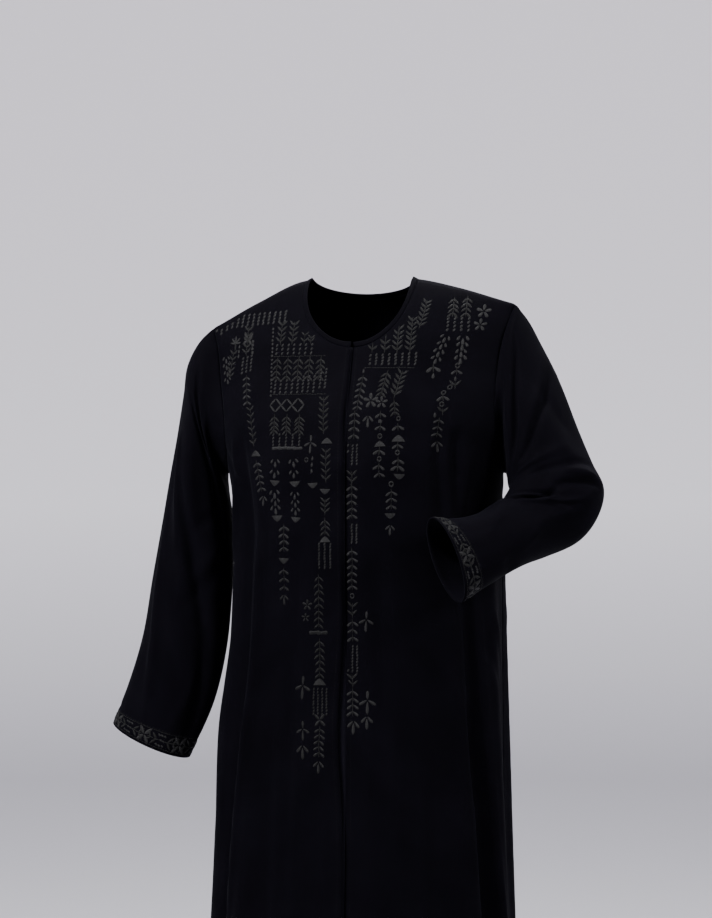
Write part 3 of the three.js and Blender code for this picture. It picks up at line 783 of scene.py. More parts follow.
def relief(tree, surface, height, roughness, strength, depth):
    """Press the height into the surface, with one roughness in its pits and one on top."""
    polish = add_node(tree, "ShaderNodeMapRange", {"To Min": roughness[0], "To Max": roughness[1]})
    press = add_node(tree, "ShaderNodeBump", {"Strength": strength, "Distance": depth})
    tree.links.new(height, polish.inputs["Value"])
    tree.links.new(polish.outputs["Result"], surface.inputs["Roughness"])
    tree.links.new(height, press.inputs["Height"])
    tree.links.new(press.outputs["Normal"], surface.inputs["Normal"])


def cloth_material(name, deep, raised, roughness, sheen, pebbles, yarns, bump):
    material, tree, surface = new_surface(name, 0.006, sheen, 0.45, (0.75, 0.78, 1.0))
    place = add_node(tree, "ShaderNodeTexCoord")
    grain = add_node(tree, "ShaderNodeGroup", node_tree=woven_grain)
    set_inputs(grain, {"Pebbles": pebbles, "Yarns": yarns})
    tree.links.new(place.outputs["UV"], grain.inputs["Place"])
    colour_between(tree, surface, grain.outputs["Shade"], [(0.3, deep), (0.7, raised)])
    relief(tree, surface, grain.outputs["Height"], (roughness, roughness - 0.1), bump, 0.0004)
    return material


crepe = cloth_material("black_crepe", (0.0005, 0.0004, 0.0008), (0.0017, 0.0015, 0.0025),
                       0.72, 0.006, 1.3, 0.5, 0.5)
bias_crepe = cloth_material("bias_crepe", (0.0006, 0.0005, 0.0009), (0.0018, 0.0016, 0.0026),
                            0.7, 0.007, 1.5, 0.6, 0.5)
# The underlap's colour is lighter than the crepe's as painted light: it stands in for the strip catching
# more light in the gap of the opening. Its smoother grain is its own.
smooth_band_painted_light = cloth_material("smooth_band_painted_light", (0.0013, 0.0012, 0.002), (0.003, 0.0027, 0.0044),
                             0.7, 0.02, 0.5, 0.9, 0.25)
print("cloth finishes:", crepe.name, bias_crepe.name, smooth_band_painted_light.name)

# %% [markdown]
# ## Embroidery thread
# Satin stitch is many threads laid side by side across the shape. They lie along each other, so
# light slides along them and the stitch looks lighter than the cloth around it, though it is nearly
# as black. Fine bands across each stitch make the threads, and a slow noise changes their shade. Each
# stitch also carries painted light in its colour: fat drops, wedges and bars are painted lighter than
# long slender leaves, as painted sheen for the light they would catch, and the low stitches of the
# wearer's right front are painted darker, as painted shade.

# %% Thread material
def thread_material(name, deep, raised, threads_per_mm, sheen):
    material, tree, surface = new_surface(name, 0.08, sheen, 0.35, (1, 0.97, 0.93))
    place = add_node(tree, "ShaderNodeTexCoord")
    bands = {"Scale": threads_per_mm * math.tau / 20, "Distortion": 0.5}
    threads = add_node(tree, "ShaderNodeTexWave", bands, wave_type="BANDS", bands_direction="Y")
    patches = add_node(tree, "ShaderNodeTexNoise", {"Scale": 90, "Detail": 1})
    # The attribute read here carries painted light: a lighter thread colour for stitch forms that would
    # catch more light (painted sheen), and a darker one low on the wearer's right front (painted shade).
    painted_light = add_node(tree, "ShaderNodeAttribute", attribute_type="GEOMETRY", attribute_name="painted_light")
    tree.links.new(place.outputs["UV"], threads.inputs["Vector"])
    tree.links.new(place.outputs["Object"], patches.inputs["Vector"])
    uneven = mix_numbers(tree, threads.outputs["Fac"], patches.outputs["Fac"], 0.5)
    share = mix_numbers(tree, uneven, painted_light.outputs["Fac"], 0.65)
    colour_between(tree, surface, share, [(0.25, deep), (0.75, raised)])
    relief(tree, surface, threads.outputs["Fac"], (0.66, 0.5), 0.5, 0.0002)
    return material


satin_thread = thread_material("charcoal_thread", (0.0009, 0.0009, 0.001), (0.0054, 0.0053, 0.0057),
                               2.4, 0.006)
sewing_thread = thread_material("black_thread", (0.001, 0.001, 0.0015), (0.003, 0.003, 0.004),
                                1.2, 0.02)
print("threads:", satin_thread.name, sewing_thread.name)

# %% [markdown]
# ## Cutting and hanging the cloth
# Each piece starts as a flat grid, as cloth does, and its vertices move to the points of its net. The
# UV map keeps the flat cloth's own millimetres, so the yarns follow the cloth round every fold. A
# Solidify modifier then gives the shell its wall, inwards, and more of it where the hem is turned.

# %% Make a cloth piece from its net
WALL = {"plain": 1.0, "turned": 1.7, "binding": 0.6, "underlap": 1.2}


def flat_grid(rows, columns):
    shape = bmesh.new()
    bmesh.ops.create_grid(shape, x_segments=columns - 1, y_segments=rows - 1, size=0.5)
    shape.verts.index_update()
    place = np.array([vert.co[:2] for vert in shape.verts])
    place = (place - place.min(axis=0)) / np.ptp(place, axis=0)
    column = np.rint(place[:, 0] * (columns - 1)).astype(int)
    row = np.rint(place[:, 1] * (rows - 1)).astype(int)
    return shape, row, column


def hang_cloth(name, net_name, material, hem=0, wall=WALL["plain"]):
    net = nets[net_name]
    shape, row, column = flat_grid(*net.shape[:2])
    flat = np.stack([distance_in(net, 1), distance_in(net, 0)], axis=-1)[row, column]
    grain = shape.loops.layers.uv.new("cloth_mm")
    for face in shape.faces:
        face.smooth = True
        for corner in face.loops:
            corner[grain].uv = flat[corner.vert.index]
    for vert, point in zip(shape.verts, net[row, column] * MM):
        vert.co = point
    if facing[net_name] < 0:
        bmesh.ops.reverse_faces(shape, faces=shape.faces)
    turned = distance_in(net, 0, from_end=True)[row, column] < hem
    mark = shape.verts.layers.deform.verify()
    for vert, is_turned in zip(shape.verts, turned):
        vert[mark][0] = 1.0 if is_turned else 0.0
    if "sleeve" in net_name:
        bmesh.ops.remove_doubles(shape, verts=shape.verts, dist=0.00001)
    mesh = bpy.data.meshes.new(name)
    shape.to_mesh(mesh)
    shape.free()
    mesh.materials.append(material)
    piece = link(name, mesh)
    piece.vertex_groups.new(name="turned_hem")
    thick = piece.modifiers.new("wall", "SOLIDIFY")
    thick.thickness = (WALL["turned"] if hem else wall) * MM
    thick.offset = -1
    thick.vertex_group = "turned_hem"
    thick.thickness_vertex_group = wall / WALL["turned"] if hem else 1.0
    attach(piece, "root")
    return piece


def cloth_area(net_name):
    net = nets[net_name]
    diagonals = net[1:, 1:] - net[:-1, :-1], net[1:, :-1] - net[:-1, 1:]
    return float(np.linalg.norm(np.cross(*diagonals), axis=-1).sum()) / 2e6


# %% Hang the panels and the sleeves
PANELS = table(
    "name net node hem",
    ("right_front_cloth", "right_front", "front_right", HEM["skirt"]),
    ("left_front_cloth", "left_front", "front_left", HEM["skirt"]),
    ("back_cloth", "back", "back", HEM["skirt"]),
    ("right_sleeve_cloth", "right_sleeve", "sleeve_right", HEM["sleeve"]),
    ("left_sleeve_cloth", "left_sleeve", "sleeve_left", HEM["sleeve"]),
)


def print_size(name, net_name):
    across = distance_in(nets[net_name], 1)[:, -1].max()
    down = distance_in(nets[net_name], 0)[-1].max()
    area = round(cloth_area(net_name), 4)
    print(name, round(across), "x", round(down), "mm,", area, "square metres")


for row in PANELS:
    piece = hang_cloth(row["name"], row["net"], crepe, row["hem"])
    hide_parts(row["node"])
    print_size(row["name"], row["net"])

# %% Hang the binding and the underlap
binding = hang_cloth("neck_binding_cloth", "neck_binding", bias_crepe, wall=WALL["binding"])
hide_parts("neck_binding")
underlap = hang_cloth("underlap_cloth", "underlap", smooth_band_painted_light, wall=WALL["underlap"])
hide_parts("underlap_strip")
for net_name in ("neck_binding", "underlap"):
    print_size(net_name, net_name)

# %% [markdown]
# ## Stitches
# An embroidered leaf is a low pad of thread. It could be a texture, but then it would have no edge
# when the light comes from the side. So each one is a small domed grid with an outline of its own:
# leaf, link, drop, wedge, bar or dot. All stitches of a piece are copies of one flat grid joined in
# one mesh, moved together onto the cloth. The low columns of the wearer's right front get a darker
# thread colour: painted shade, where less light falls.

# %% One small pad, many times
def pad_outline(form, t):
    """Half width of a pad along its length, where 1 is its widest."""
    outline = {
        "leaf": lambda: np.sin(np.pi * t) ** 0.8 * (1.12 - 0.3 * t),
        "drop": lambda: 1.22 * np.sqrt(t) * np.sqrt(np.clip(1 - t ** 3.5, 0, 1)),
        "link": lambda: np.sin(np.pi * t) ** 0.55,
        "wedge": lambda: np.clip(1 - t ** 1.3, 0, 1) ** 0.7,
        "bar": lambda: np.clip(np.minimum(t, 1 - t) * 14, 0, 1) ** 0.5 * (0.9 + 0.1 * np.sin(9 * t)),
        "dot": lambda: np.sqrt(np.clip(1 - (2 * t - 1) ** 2, 0, 1)),
    }
    return outline[form]()


DOME = {"roundness": 2.4, "sink": 0.15}
# Painted sheen: how much each stitch form lightens its thread colour, standing in for the light it
# catches.
PAINTED_SHEEN = {"leaf": 0.3, "link": 0.75, "drop": 0.85, "wedge": 1.0, "bar": 1.0, "dot": 0.8}
# Painted shade: stitches low on the wearer's right front get a darker thread colour, where less light
# falls.
PAINTED_SHADE_LOW_RIGHT = {"share": 0.6, "from_z": -310, "to_z": -400, "middle_x": -60, "half_width": 60}


def pads_mesh(name, groups, cells, material):
    """Groups are (marks, carry): marks are placed in flat millimetres, carry puts them on the cloth."""
    pad, row, column = flat_grid(cells[1] + 1, cells[0] + 1)
    flat_pad = bpy.data.meshes.new("flat_pad")
    pad.to_mesh(flat_pad)
    corner_vert = np.array([corner.vertex_index for corner in flat_pad.loops])
    pad.free()
    s = np.cos(np.pi * column / cells[0])
    t = (1 - np.cos(np.pi * row / cells[1])) / 2
    vert_at = np.zeros((cells[1] + 1, cells[0] + 1), int)
    vert_at[row, column] = np.arange(len(row))
    mirror = vert_at[row, cells[0] - column]
    left, right = vert_at[cells[1] // 2, [0, -1]]
    foot, top = vert_at[[0, -1], cells[0] // 2]
    points, flats, painted_lights = [], [], []
    for marks, carry in groups:
        for form in sorted({mark["form"] for mark in marks}):
            some = [mark for mark in marks if mark["form"] == form]
            a, b, turn, length, width, rise = (
                np.array([mark[key] for mark in some])[:, None]
                for key in ("across", "up", "turn", "length", "width", "rise"))
            outline = pad_outline(form, t)[None, :]
            aside = -s * outline * width / 2
            ahead = t * length
            dome = rise * (1 - np.abs(s) ** DOME["roundness"]) * outline ** 0.5 - DOME["sink"]
            x = a + aside * cos_deg(turn) + ahead * sin_deg(turn)
            y = b + ahead * cos_deg(turn) - aside * sin_deg(turn)
            on_cloth, out, found = carry(x, y)
            keep = found.all(axis=1)
            spots = (on_cloth + out * dome[..., None])[keep]
            flat = np.stack([aside, ahead + 0 * aside], axis=-1)[keep]
            inside_out = (np.cross(spots[:, right] - spots[:, left], spots[:, top] - spots[:, foot])
                          * out[keep].mean(axis=1)).sum(axis=-1) < 0
            spots[inside_out] = spots[inside_out][:, mirror]
            points.append(spots)
            flats.append(flat)
            # Painted shade on the low stitches of the wearer's right front.
            low = smoothstep(-spots[..., 2], -PAINTED_SHADE_LOW_RIGHT["from_z"], -PAINTED_SHADE_LOW_RIGHT["to_z"])
            beside = np.abs(spots[..., 0] - PAINTED_SHADE_LOW_RIGHT["middle_x"]) < PAINTED_SHADE_LOW_RIGHT["half_width"]
            painted_lights.append(PAINTED_SHEEN[form] * (1 - PAINTED_SHADE_LOW_RIGHT["share"] * low * beside))
    points, flats = np.concatenate(points), np.concatenate(flats)
    shape = bmesh.new()
    for _ in points:
        shape.from_mesh(flat_pad)
    mesh = bpy.data.meshes.new(name)
    shape.to_mesh(mesh)
    shape.free()
    mesh.vertices.foreach_set("co", (points * MM).reshape(-1).astype(np.float32))
    # Painted sheen and painted shade for the thread colour, one value per vertex.
    painted_light = mesh.attributes.new("painted_light", "FLOAT", "POINT")
    painted_light.data.foreach_set("value", np.concatenate(painted_lights).reshape(-1).astype(np.float32))
    threads = mesh.uv_layers.new(name="thread_mm")
    threads.data.foreach_set("uv", flats[:, corner_vert].reshape(-1).astype(np.float32))
    shape = bmesh.new()
    shape.from_mesh(mesh)
    for face in shape.faces:
        face.smooth = True
    bmesh.ops.remove_doubles(shape, verts=shape.verts, dist=0.000002)
    shape.to_mesh(mesh)
    shape.free()
    bpy.data.meshes.remove(flat_pad)
    mesh.materials.append(material)
    piece = link(name, mesh)
    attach(piece, "root")
    print(name, "-", len(points), "stitches,", len(mesh.polygons), "faces")
    return piece


# %% [markdown]
# ## Where stitches lie
# The fronts are embroidered as they are seen: a chart gives a place across and a height, and a
# straight look from the front finds the cloth there. Hems and cuffs turn away from the front, so
# their stitches are placed along the edge instead, by how far they are along it and above it.

# %% Put stitches on a front, or along an edge
def front_carrier(net_name):
    net = nets[net_name] * MM
    rows, columns = net.shape[:2]
    corner = np.arange(rows * columns).reshape(rows, columns)
    quads = np.stack([corner[:-1, :-1], corner[:-1, 1:], corner[1:, 1:], corner[1:, :-1]], axis=-1)
    finder = BVHTree.FromPolygons(net.reshape(-1, 3).tolist(), quads.reshape(-1, 4).tolist())

    def carry(x, z):
        points = np.zeros((*x.shape, 3))
        outs = np.zeros((*x.shape, 3))
        found = np.zeros(x.shape, bool)
        for spot in np.ndindex(x.shape):
            hit = finder.ray_cast(Vector((x[spot] * MM, -1, z[spot] * MM)), Vector((0, 1, 0)))
            if hit[0] is not None:
                points[spot] = np.array(hit[0]) / MM
                outs[spot] = np.array(hit[1]) * (1 if hit[1].y < 0 else -1)
                found[spot] = True
        return points, outs, found

    return carry


def edge_carrier(net, outward, wraps=False):
    """The last row of the net is the edge. Places are millimetres along it and up from it."""
    along = distance_in(net, 1)[-1]
    height = distance_in(net, 0, from_end=True).mean(axis=1)
    rows, columns = net.shape[:2]

    def between(field, row, column):
        i = np.clip(row.astype(int), 0, rows - 2)
        j = np.clip(column.astype(int), 0, columns - 2)
        down, right = (row - i)[..., None], (column - j)[..., None]
        upper = lerp(field[i, j], field[i, j + 1], right)
        lower = lerp(field[i + 1, j], field[i + 1, j + 1], right)
        return lerp(upper, lower, down)

    def carry(x, y):
        inside = (x >= 0) & (x <= along[-1]) | wraps
        column = np.interp(x % along[-1] if wraps else x, along, np.arange(columns))
        row = np.interp(y, height[::-1], np.arange(rows)[::-1])
        return between(net, row, column), between(outward, row, column), inside

    return carry


on_front = {side: front_carrier(f"{side}_front") for side in SIGN}
on_cuff = {side: edge_carrier(nets[f"{side}_sleeve"], normals[f"{side}_sleeve"], wraps=True)
           for side in SIGN}
cuff_round = {side: float(distance_in(nets[f"{side}_sleeve"], 1)[-1, -1]) for side in SIGN}
print("round the cuffs:", {side: round(length) for side, length in cuff_round.items()}, "mm")

# %% [markdown]
# ## Motifs
# The embroidery is a traditional kind built from a few small motifs: pairs of leaves on a stem,
# pairs that hang down, crosses of four leaves, drops, dots, solid wedges, bars, and chains of short
# slanted stitches. Each is a few pads in its own small table, where 1 is the motif's size.

# %% Motif tables
PAD = "aside ahead turn length width rise form"


def pair(aside, ahead, turn, *rest):
    """Two pads that mirror each other."""
    return (-aside, ahead, -turn, *rest), (aside, ahead, turn, *rest)


MOTIFS = {
    "vee": table(PAD, *pair(0.03, 0.0, 44, 1.0, 0.34, 0.9, "leaf"), (0, -0.5, 0, 1.1, 0.17, 0.7, "leaf")),
    "roof": table(PAD, *pair(0.03, 0.0, 136, 1.0, 0.34, 0.9, "leaf"),
                  (0, -0.6, 0, 1.1, 0.17, 0.7, "leaf")),
    "fork": table(PAD, *pair(0.06, 0.1, 130, 0.85, 0.42, 1.0, "drop"),
                  (0, -0.55, 0, 1.1, 0.17, 0.7, "leaf")),
    "cross": table(PAD, *pair(0.03, 0.03, 42, 0.8, 0.34, 0.9, "link"),
                   *pair(0.03, -0.03, 138, 0.8, 0.34, 0.9, "link")),
    "fan": table(PAD, (0, 0, -78, 0.6, 0.2, 0.9, "link"), (0, 0, -40, 0.7, 0.2, 0.9, "link"),
                 (0, 0, 0, 0.75, 0.2, 0.9, "link"), (0, 0, 40, 0.7, 0.2, 0.9, "link"),
                 (0, 0, 78, 0.6, 0.2, 0.9, "link"), (0, 0.05, 180, 0.75, 0.2, 0.9, "leaf")),
    "flower": table(PAD, (0, 0.06, 0, 0.5, 0.3, 1.0, "drop"), (0.06, 0.02, 72, 0.5, 0.3, 1.0, "drop"),
                    *pair(-0.04, -0.05, -144, 0.5, 0.3, 1.0, "drop"),
                    (-0.06, 0.02, -72, 0.5, 0.3, 1.0, "drop")),
    "cluster": table(PAD, *pair(0.34, 0.42, 150, 0.66, 0.42, 1.0, "drop"),
                     (0, 0.1, 180, 0.85, 0.5, 1.0, "drop")),
    "ring": table(PAD, *pair(0, 0.5, -142, 0.62, 0.3, 0.9, "link"),
                  *pair(0, -0.5, -38, 0.62, 0.3, 0.9, "link")),
    "diamond": table(PAD, *pair(0, 0.55, -138, 0.78, 0.19, 0.9, "link"),
                     *pair(0, -0.55, -42, 0.78, 0.19, 0.9, "link")),
    "drop": table(PAD, (0, 0.5, 180, 1.0, 0.6, 1.0, "drop")),
    "dot": table(PAD, (0, -0.5, 0, 1.0, 0.95, 0.9, "dot")),
    "wedge_up": table(PAD, (0, -0.25, 0, 0.56, 1.15, 1.0, "wedge")),
    "wedge_down": table(PAD, (0, 0.25, 180, 0.56, 1.15, 1.0, "wedge")),
    "bar": table(PAD, (-0.5, 0.03, 88, 0.6, 0.2, 1.0, "bar"), (0.5, 0.03, -92, 0.6, 0.2, 1.0, "bar")),
    "chain": table(PAD, (-0.18, -0.46, 22, 0.98, 0.62, 0.8, "link")),
    "stroke": table(PAD, (-0.26, -0.44, 30, 0.98, 0.66, 0.9, "link")),
    "line": table(PAD, (0, -0.5, 0, 1.05, 0.4, 0.6, "leaf")),
    "sprig": table(PAD, (0, 0.1, 0, 0.4, 0.17, 1.0, "drop"),
                   *pair(0.03, 0.08, 122, 0.4, 0.17, 1.0, "drop"),
                   (0, 0.02, 180, 0.56, 0.17, 1.0, "drop")),
    "tassel": table(PAD, *pair(0.06, 0.1, 140, 0.85, 0.36, 1.0, "drop"),
                    (0, -0.1, 180, 1.15, 0.4, 1.0, "drop")),
}
UPSIDE_DOWN = 100
HAND = {"place": 0.35, "size": 0.07, "turn": 4.5}
hand = np.random.default_rng(7)


def motif(name, x, y, size, turn=0.0):
    """One motif, a little out of place as by hand."""
    slip = hand.uniform(-1, 1, 4)
    x, y = x + HAND["place"] * slip[0], y + HAND["place"] * slip[1]
    size, turn = size * (1 + HAND["size"] * slip[2]), turn + HAND["turn"] * slip[3]
    cos, sin = math.cos(math.radians(turn)), math.sin(math.radians(turn))
    return [{
        "across": x + size * (pad["aside"] * cos + pad["ahead"] * sin),
        "up": y + size * (pad["ahead"] * cos - pad["aside"] * sin),
        "turn": pad["turn"] + turn, "length": pad["length"] * size, "width": pad["width"] * size,
        "rise": pad["rise"], "form": pad["form"],
    } for pad in MOTIFS[name]]


def run_of(row):
    """A motif repeated from one place to another, leaning with the line that joins them."""
    span = row["end_x"] - row["x"], row["end_z"] - row["z"]
    count = max(int(round(math.hypot(*span) / row["every"])), 0) + 1
    turn = math.degrees(math.atan2(span[0], span[1])) if count > 1 else 0.0
    turn = turn + 180 if abs(turn) > UPSIDE_DOWN else turn
    marks = []
    for step in range(count):
        t = step / max(count - 1, 1)
        marks += motif(row["motif"], row["x"] + span[0] * t, row["z"] + span[1] * t, row["size"], turn)
    return marks


def block_of(row):
    """Upright runs side by side, between a top line and a foot line that may slope."""
    count = int(round(abs(row["end_x"] - row["x"]) / row["step"])) + 1
    marks = []
    for step in range(count):
        t = step / max(count - 1, 1)
        x = lerp(row["x"], row["end_x"], t)
        marks += run_of({"x": x, "z": lerp(row["top"], row["end_top"], t), "end_x": x,
                         "end_z": lerp(row["foot"], row["end_foot"], t), "motif": row["motif"],
                         "every": row["every"], "size": row["size"]})
    return marks


print("motifs:", ", ".join(MOTIFS))

# %% [markdown]
# ## The chart of the fronts
# The chest is worked densely round the neck and opens out downwards into single columns, longer on
# the wearer's right front, that end in drops. Blocks of leaf columns and chains, closed by a line of
# short stitches, sit at the top. Under them run columns of leaf pairs, broken by wedges, crosses and
# groups of chains, with a few sprigs beside them. The two fronts differ, as handwork does.

# %% Chart tables
BLOCK = "x top foot end_x end_top end_foot step motif every size"
RUN = "x z end_x end_z motif every size"


def runs(*rows):
    """Rows of runs. A row of four values is one motif at one place."""
    return table(RUN, *((*row[:2], *row[:2], row[2], 1, row[3]) if len(row) == 4 else row
                        for row in rows))


CHART_BLOCKS = {
    "right": table(
        BLOCK,
        (-197, -57, -70, -181, -47, -60, 8.0, "stroke", 4.7, 5.0),
        (-173, -43, -57, -93, -39, -52, 8.0, "stroke", 4.7, 5.0),
        (-95, -58, -80, -78, -58, -80, 17.0, "vee", 6.6, 9.6),
        (-61, -72, -80, -52, -76, -80, 12.0, "vee", 6.6, 7.6),
        (-99, -84, -95, -50, -84, -95, 8.2, "stroke", 4.4, 4.6),
        (-96, -103, -125, -36, -103, -125, 15.0, "roof", 6.4, 9.6),
        (-96, -131, -146, -64, -131, -146, 8.0, "stroke", 4.4, 4.7),
        (-57, -126, -145, -42, -126, -145, 7.6, "stroke", 4.4, 4.6),
        (-34, -117, -140, -27, -117, -140, 7.2, "stroke", 4.4, 4.6),
        (-93, -163, -163, -61, -163, -163, 16.0, "diamond", 1, 16.0),
        (-93, -178, -195, -58, -178, -195, 17.5, "roof", 6.2, 10.0),
        (-94, -201, -214, -57, -201, -214, 9.2, "chain", 4.0, 4.5),
        (-149, -100, -119, -136, -97, -116, 6.5, "stroke", 4.4, 4.6),
        (-29, -340, -370, -14, -340, -370, 7.5, "chain", 4.0, 4.3),
        (-37, -525, -556, -20, -525, -556, 5.7, "chain", 3.9, 4.2),
    ),
    "left": table(
        BLOCK,
        (30, -88, -92, 78, -54, -92, 16.0, "vee", 6.6, 9.6),
        (28, -99, -110, 86, -97, -110, 8.2, "stroke", 4.4, 4.7),
        (127, -24, -42, 143, -22, -42, 16.0, "roof", 6.6, 9.4),
        (122, -50, -65, 148, -50, -65, 8.7, "stroke", 4.6, 4.9),
        (7, -215, -238, 19, -215, -238, 6.2, "chain", 4.0, 4.3),
        (7, -316, -338, 19, -316, -338, 6.2, "chain", 4.0, 4.3),
        (7, -470, -501, 19, -470, -501, 6.2, "chain", 4.0, 4.3),
    ),
}
CHART_RUNS = {
    "right": runs(
        (-108, -62, -101, -150, "dot", 5.2, 3.6), (-104, -99, -32, -99, "line", 3.3, 3.4),
        (-101, -149, -26, -149, "line", 3.3, 3.4), (-164, -80, "fan", 15.0),
        (-157, -84, -157, -97, "drop", 6.5, 5.6), (-166, -94, -168, -124, "vee", 7.5, 8.4),
        (-177, -100, -172, -128, "cluster", 9.5, 8.0), (-146, -63, -145, -93, "vee", 7.5, 9.6),
        (-145, -74, "cross", 12.0), (-137, -78, -136, -93, "dot", 5.4, 4.4),
        (-141, -126, -137, -158, "fork", 8.2, 8.0), (-131, -169, -124, -212, "vee", 9.0, 8.0),
        (-120, -225, "wedge_up", 13.0), (-118, -238, -111, -270, "fork", 8.5, 8.4),
        (-108, -281, "tassel", 9.0), (-84, -219, "bar", 23.0), (-63, -219, "bar", 23.0),
        (-90, -236, -91, -250, "cluster", 13.0, 9.8), (-91, -263, "wedge_down", 13.0),
        (-91, -276, -90, -296, "cluster", 10.5, 9.8), (-88, -308, "wedge_down", 15.0),
        (-64, -236, -63, -250, "cluster", 13.0, 9.0), (-62, -264, "wedge_down", 13.5),
        (-62, -278, -61, -298, "cluster", 10.5, 9.0), (-61, -309, "wedge_down", 13.0),
        (-41, -213, "sprig", 23.0), (-46, -233, "ring", 7.0), (-38, -231, -39, -247, "drop", 8.0, 6.0),
        (-37, -266, "wedge_down", 13.0), (-78, -320, -78, -346, "fork", 8.8, 10.0),
        (-78, -362, "wedge_down", 14.0), (-78, -375, -78, -396, "fork", 9.5, 9.6),
        (-78, -407, "tassel", 10.0), (-27, -158, -25, -197, "vee", 7.6, 9.4),
        (-20, -209, "wedge_up", 13.0), (-20, -224, -20, -258, "vee", 8.2, 9.2),
        (-21, -273, "wedge_down", 12.5), (-21, -287, -21, -300, "vee", 7.6, 9.4),
        (-21, -310, -21, -324, "roof", 7.6, 9.4), (-21, -334, "wedge_up", 14.0),
        (-30, -382, -30, -442, "roof", 8.2, 9.4), (-46, -418, "flower", 13.0),
        (-48, -434, "flower", 11.0), (-31, -454, "bar", 24.0), (-29, -464, -29, -505, "roof", 7.8, 9.8),
        (-29, -516, "wedge_up", 16.0), (-29, -564, "cross", 13.0),
        (-29, -576, -30, -606, "fork", 8.4, 9.8), (-30, -618, "tassel", 12.0),
        (-52, -523, "sprig", 29.0), (-52, -578, "sprig", 26.0), (-52, -599, "tassel", 13.0),
    ),
    "left": runs(
        (93, -30, 88, -60, "vee", 6.6, 9.0), (23, -115, 84, -115, "line", 3.3, 3.4),
        (21, -119, "drop", 6.0), (21, -128, 17, -166, "fork", 7.4, 8.8),
        (14, -174, 14, -202, "fork", 8.4, 10.0), (13, -209, "wedge_up", 15.0),
        (13, -253, 13, -261, "vee", 8.0, 10.0), (13, -268, 13, -304, "fork", 9.6, 9.8),
        (13, -350, 13, -394, "fork", 9.6, 9.8), (13, -406, "ring", 8.0),
        (13, -420, 13, -430, "vee", 8.0, 9.6), (13, -440, 13, -459, "fork", 8.6, 9.8),
        (13, -511, 13, -519, "vee", 7.6, 9.6), (13, -528, 13, -554, "fork", 8.8, 10.0),
        (14, -566, "tassel", 13.0), (52, -122, 47, -147, "roof", 7.2, 10.0),
        (70, -124, 64, -150, "vee", 7.4, 10.0), (34, -158, "flower", 17.0), (48, -160, "flower", 14.0),
        (32, -178, "tassel", 12.0), (48, -175, "fork", 10.0), (64, -160, 65, -172, "roof", 8.0, 9.0),
        (48, -184, "dot", 6.0), (48, -191, "fork", 10.0), (48, -203, "ring", 8.0),
        (48, -213, "wedge_up", 13.0), (48, -222, "fork", 10.0), (48, -232, "ring", 8.0),
        (48, -241, 48, -251, "fork", 9.0, 10.0), (70, -181, "ring", 7.0), (70, -191, "fork", 10.5),
        (71, -206, "wedge_up", 15.0), (70, -215, "fork", 10.0), (70, -224, "ring", 8.0),
        (71, -234, 71, -242, "fork", 8.0, 11.0), (73, -254, "wedge_down", 13.0),
        (63, -264, "ring", 8.0), (63, -274, 63, -292, "fork", 9.0, 9.6), (62, -304, "wedge_down", 13.0),
        (62, -317, "tassel", 10.0), (120, -76, 111, -104, "cluster", 9.4, 9.2),
        (109, -115, "fork", 12.0), (109, -126, "drop", 7.0),
        (142, -77, 141, -103, "cluster", 9.4, 10.0), (138, -112, "ring", 8.0), (137, -119, "fork", 9.6),
        (136, -129, "drop", 6.5), (136, -138, "vee", 10.0), (130, -140, 123, -147, "ring", 9.0, 7.5),
        (123, -153, "fork", 10.0), (122, -162, "ring", 8.0), (123, -172, "vee", 10.0),
        (114, -176, "drop", 7.0), (119, -183, 117, -200, "fork", 8.5, 8.0), (117, -211, "tassel", 10.0),
        (165, -40, "flower", 17.0), (162, -58, "flower", 16.0), (31, -438, "sprig", 26.0),
        (32, -540, "sprig", 27.0), (32, -560, "tassel", 13.0),
    ),
}
print("rows in the chart:", sum(map(len, CHART_BLOCKS.values())) + sum(map(len, CHART_RUNS.values())))

# %% Embroider the fronts
NECK_MARGIN = {"above": 7, "beside": 2.5}


def on_the_cloth(mark, carry):
    """Whether a mark lies on the front with a little bare cloth between it and the neckline."""
    aside = NECK_MARGIN["beside"] * np.array([[-1, 0, 1]])
    return carry(mark["across"] + aside, mark["up"] + NECK_MARGIN["above"] + 0 * aside)[2].all()


for side in SIGN:
    marks = [mark for row in CHART_BLOCKS[side] for mark in block_of(row)]
    marks += [mark for row in CHART_RUNS[side] for mark in run_of(row)]
    marks = [mark for mark in marks if on_the_cloth(mark, on_front[side])]
    piece = pads_mesh(f"{side}_front_embroidery", [(marks, on_front[side])], (4, 8), satin_thread)

# %% [markdown]
# ## The cuffs
# A narrow border follows each cuff: leaf pairs run towards a cross from both sides, then come three
# short chains, and a line of stitches closes the border above and below. The number of repeats is
# rounded to fit once round, so the border has no break.

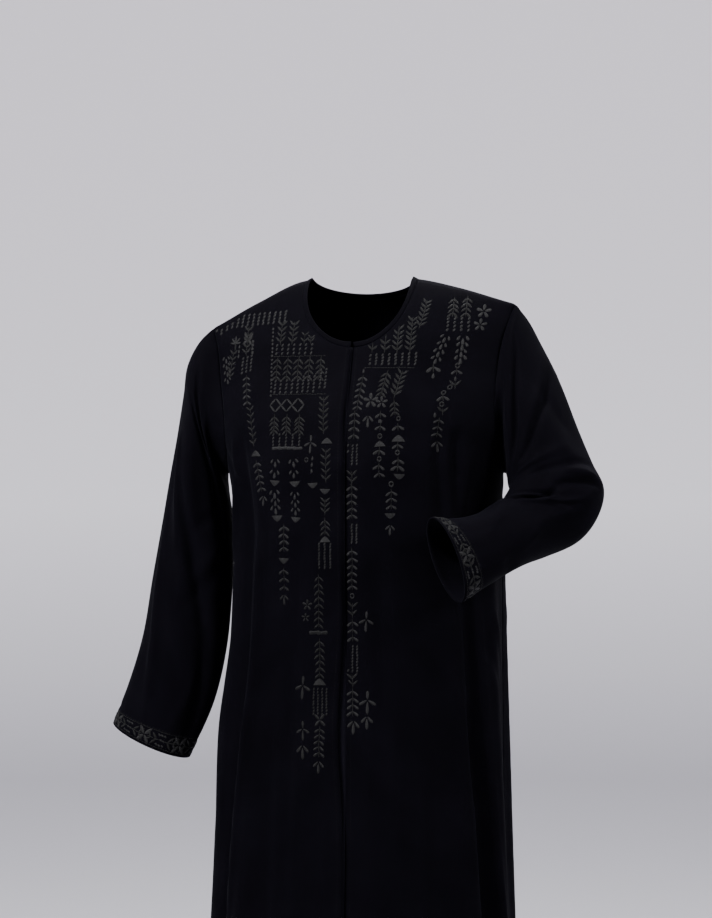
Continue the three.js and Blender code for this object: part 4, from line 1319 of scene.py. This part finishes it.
# %% Embroider the cuffs
CUFF = {"repeat": 46, "middle": 12.5, "foot": 3.4, "top": 22.5, "stitch": 3.3, "stitch_size": 3.2}
CUFF_MOTIFS = table(
    "along up motif size turn",
    (2, 0, "vee", 10.5, 90), (9.5, 0, "vee", 10.5, 90), (18, 0, "cross", 14, 0),
    (26.5, 0, "vee", 10.5, -90), (34, 0, "vee", 10.5, -90),
    *((along, up, "chain", 4.4, 90) for up in (-6, 0, 6) for along in (36.5, 40, 43.5)
      if up or along > 36.5),
)


def cuff_marks(length):
    repeats = int(round(length / CUFF["repeat"]))
    stretch = length / repeats / CUFF["repeat"]
    marks = []
    for repeat in range(repeats):
        for row in CUFF_MOTIFS:
            along = (repeat * CUFF["repeat"] + row["along"]) * stretch
            marks += motif(row["motif"], along, CUFF["middle"] + row["up"], row["size"], row["turn"])
    stitches = int(length / CUFF["stitch"])
    for stitch in range(stitches):
        for up in (CUFF["foot"], CUFF["top"]):
            marks += motif("line", stitch * length / stitches, up, CUFF["stitch_size"], 90)
    return marks


for side in SIGN:
    piece = pads_mesh(f"{side}_cuff_embroidery", [(cuff_marks(cuff_round[side]), on_cuff[side])],
                      (4, 8), satin_thread)

# %% [markdown]
# ## Sewing stitches
# The hems and the two front edges are stitched down by machine, in black thread that only shows from
# near. Each stitch is a pad of a few faces, in a row that follows its edge.

# %% Stitch the hems and the front edges
STITCH = {"length": 3.1, "width": 0.7, "rise": 0.45, "pitch": 4.4, "edge": 7}


def stitch_row(length, up):
    stitches = int(length / STITCH["pitch"])
    return [{"across": (stitch + 0.2) * STITCH["pitch"], "up": up, "turn": 90, "length": STITCH["length"],
             "width": STITCH["width"], "rise": STITCH["rise"], "form": "leaf"}
            for stitch in range(stitches)]


def row_along(net, outward, up, wraps=False):
    carry = edge_carrier(net, outward, wraps)
    return stitch_row(float(distance_in(net, 1)[-1, -1]), up), carry


sewing = []
for row in PANELS:
    wraps = "sleeve" in row["net"]
    sewing.append(row_along(nets[row["net"]], normals[row["net"]], row["hem"], wraps))
for side in SIGN:
    name = f"{side}_front"
    first = ROWS["neck"] * FINE["upper"]
    turned = [field[name][first:, ::-1].swapaxes(0, 1) for field in (nets, normals)]
    sewing.append(row_along(*turned, STITCH["edge"]))
pads_mesh("sewing_stitches", sewing, (2, 4), sewing_thread)
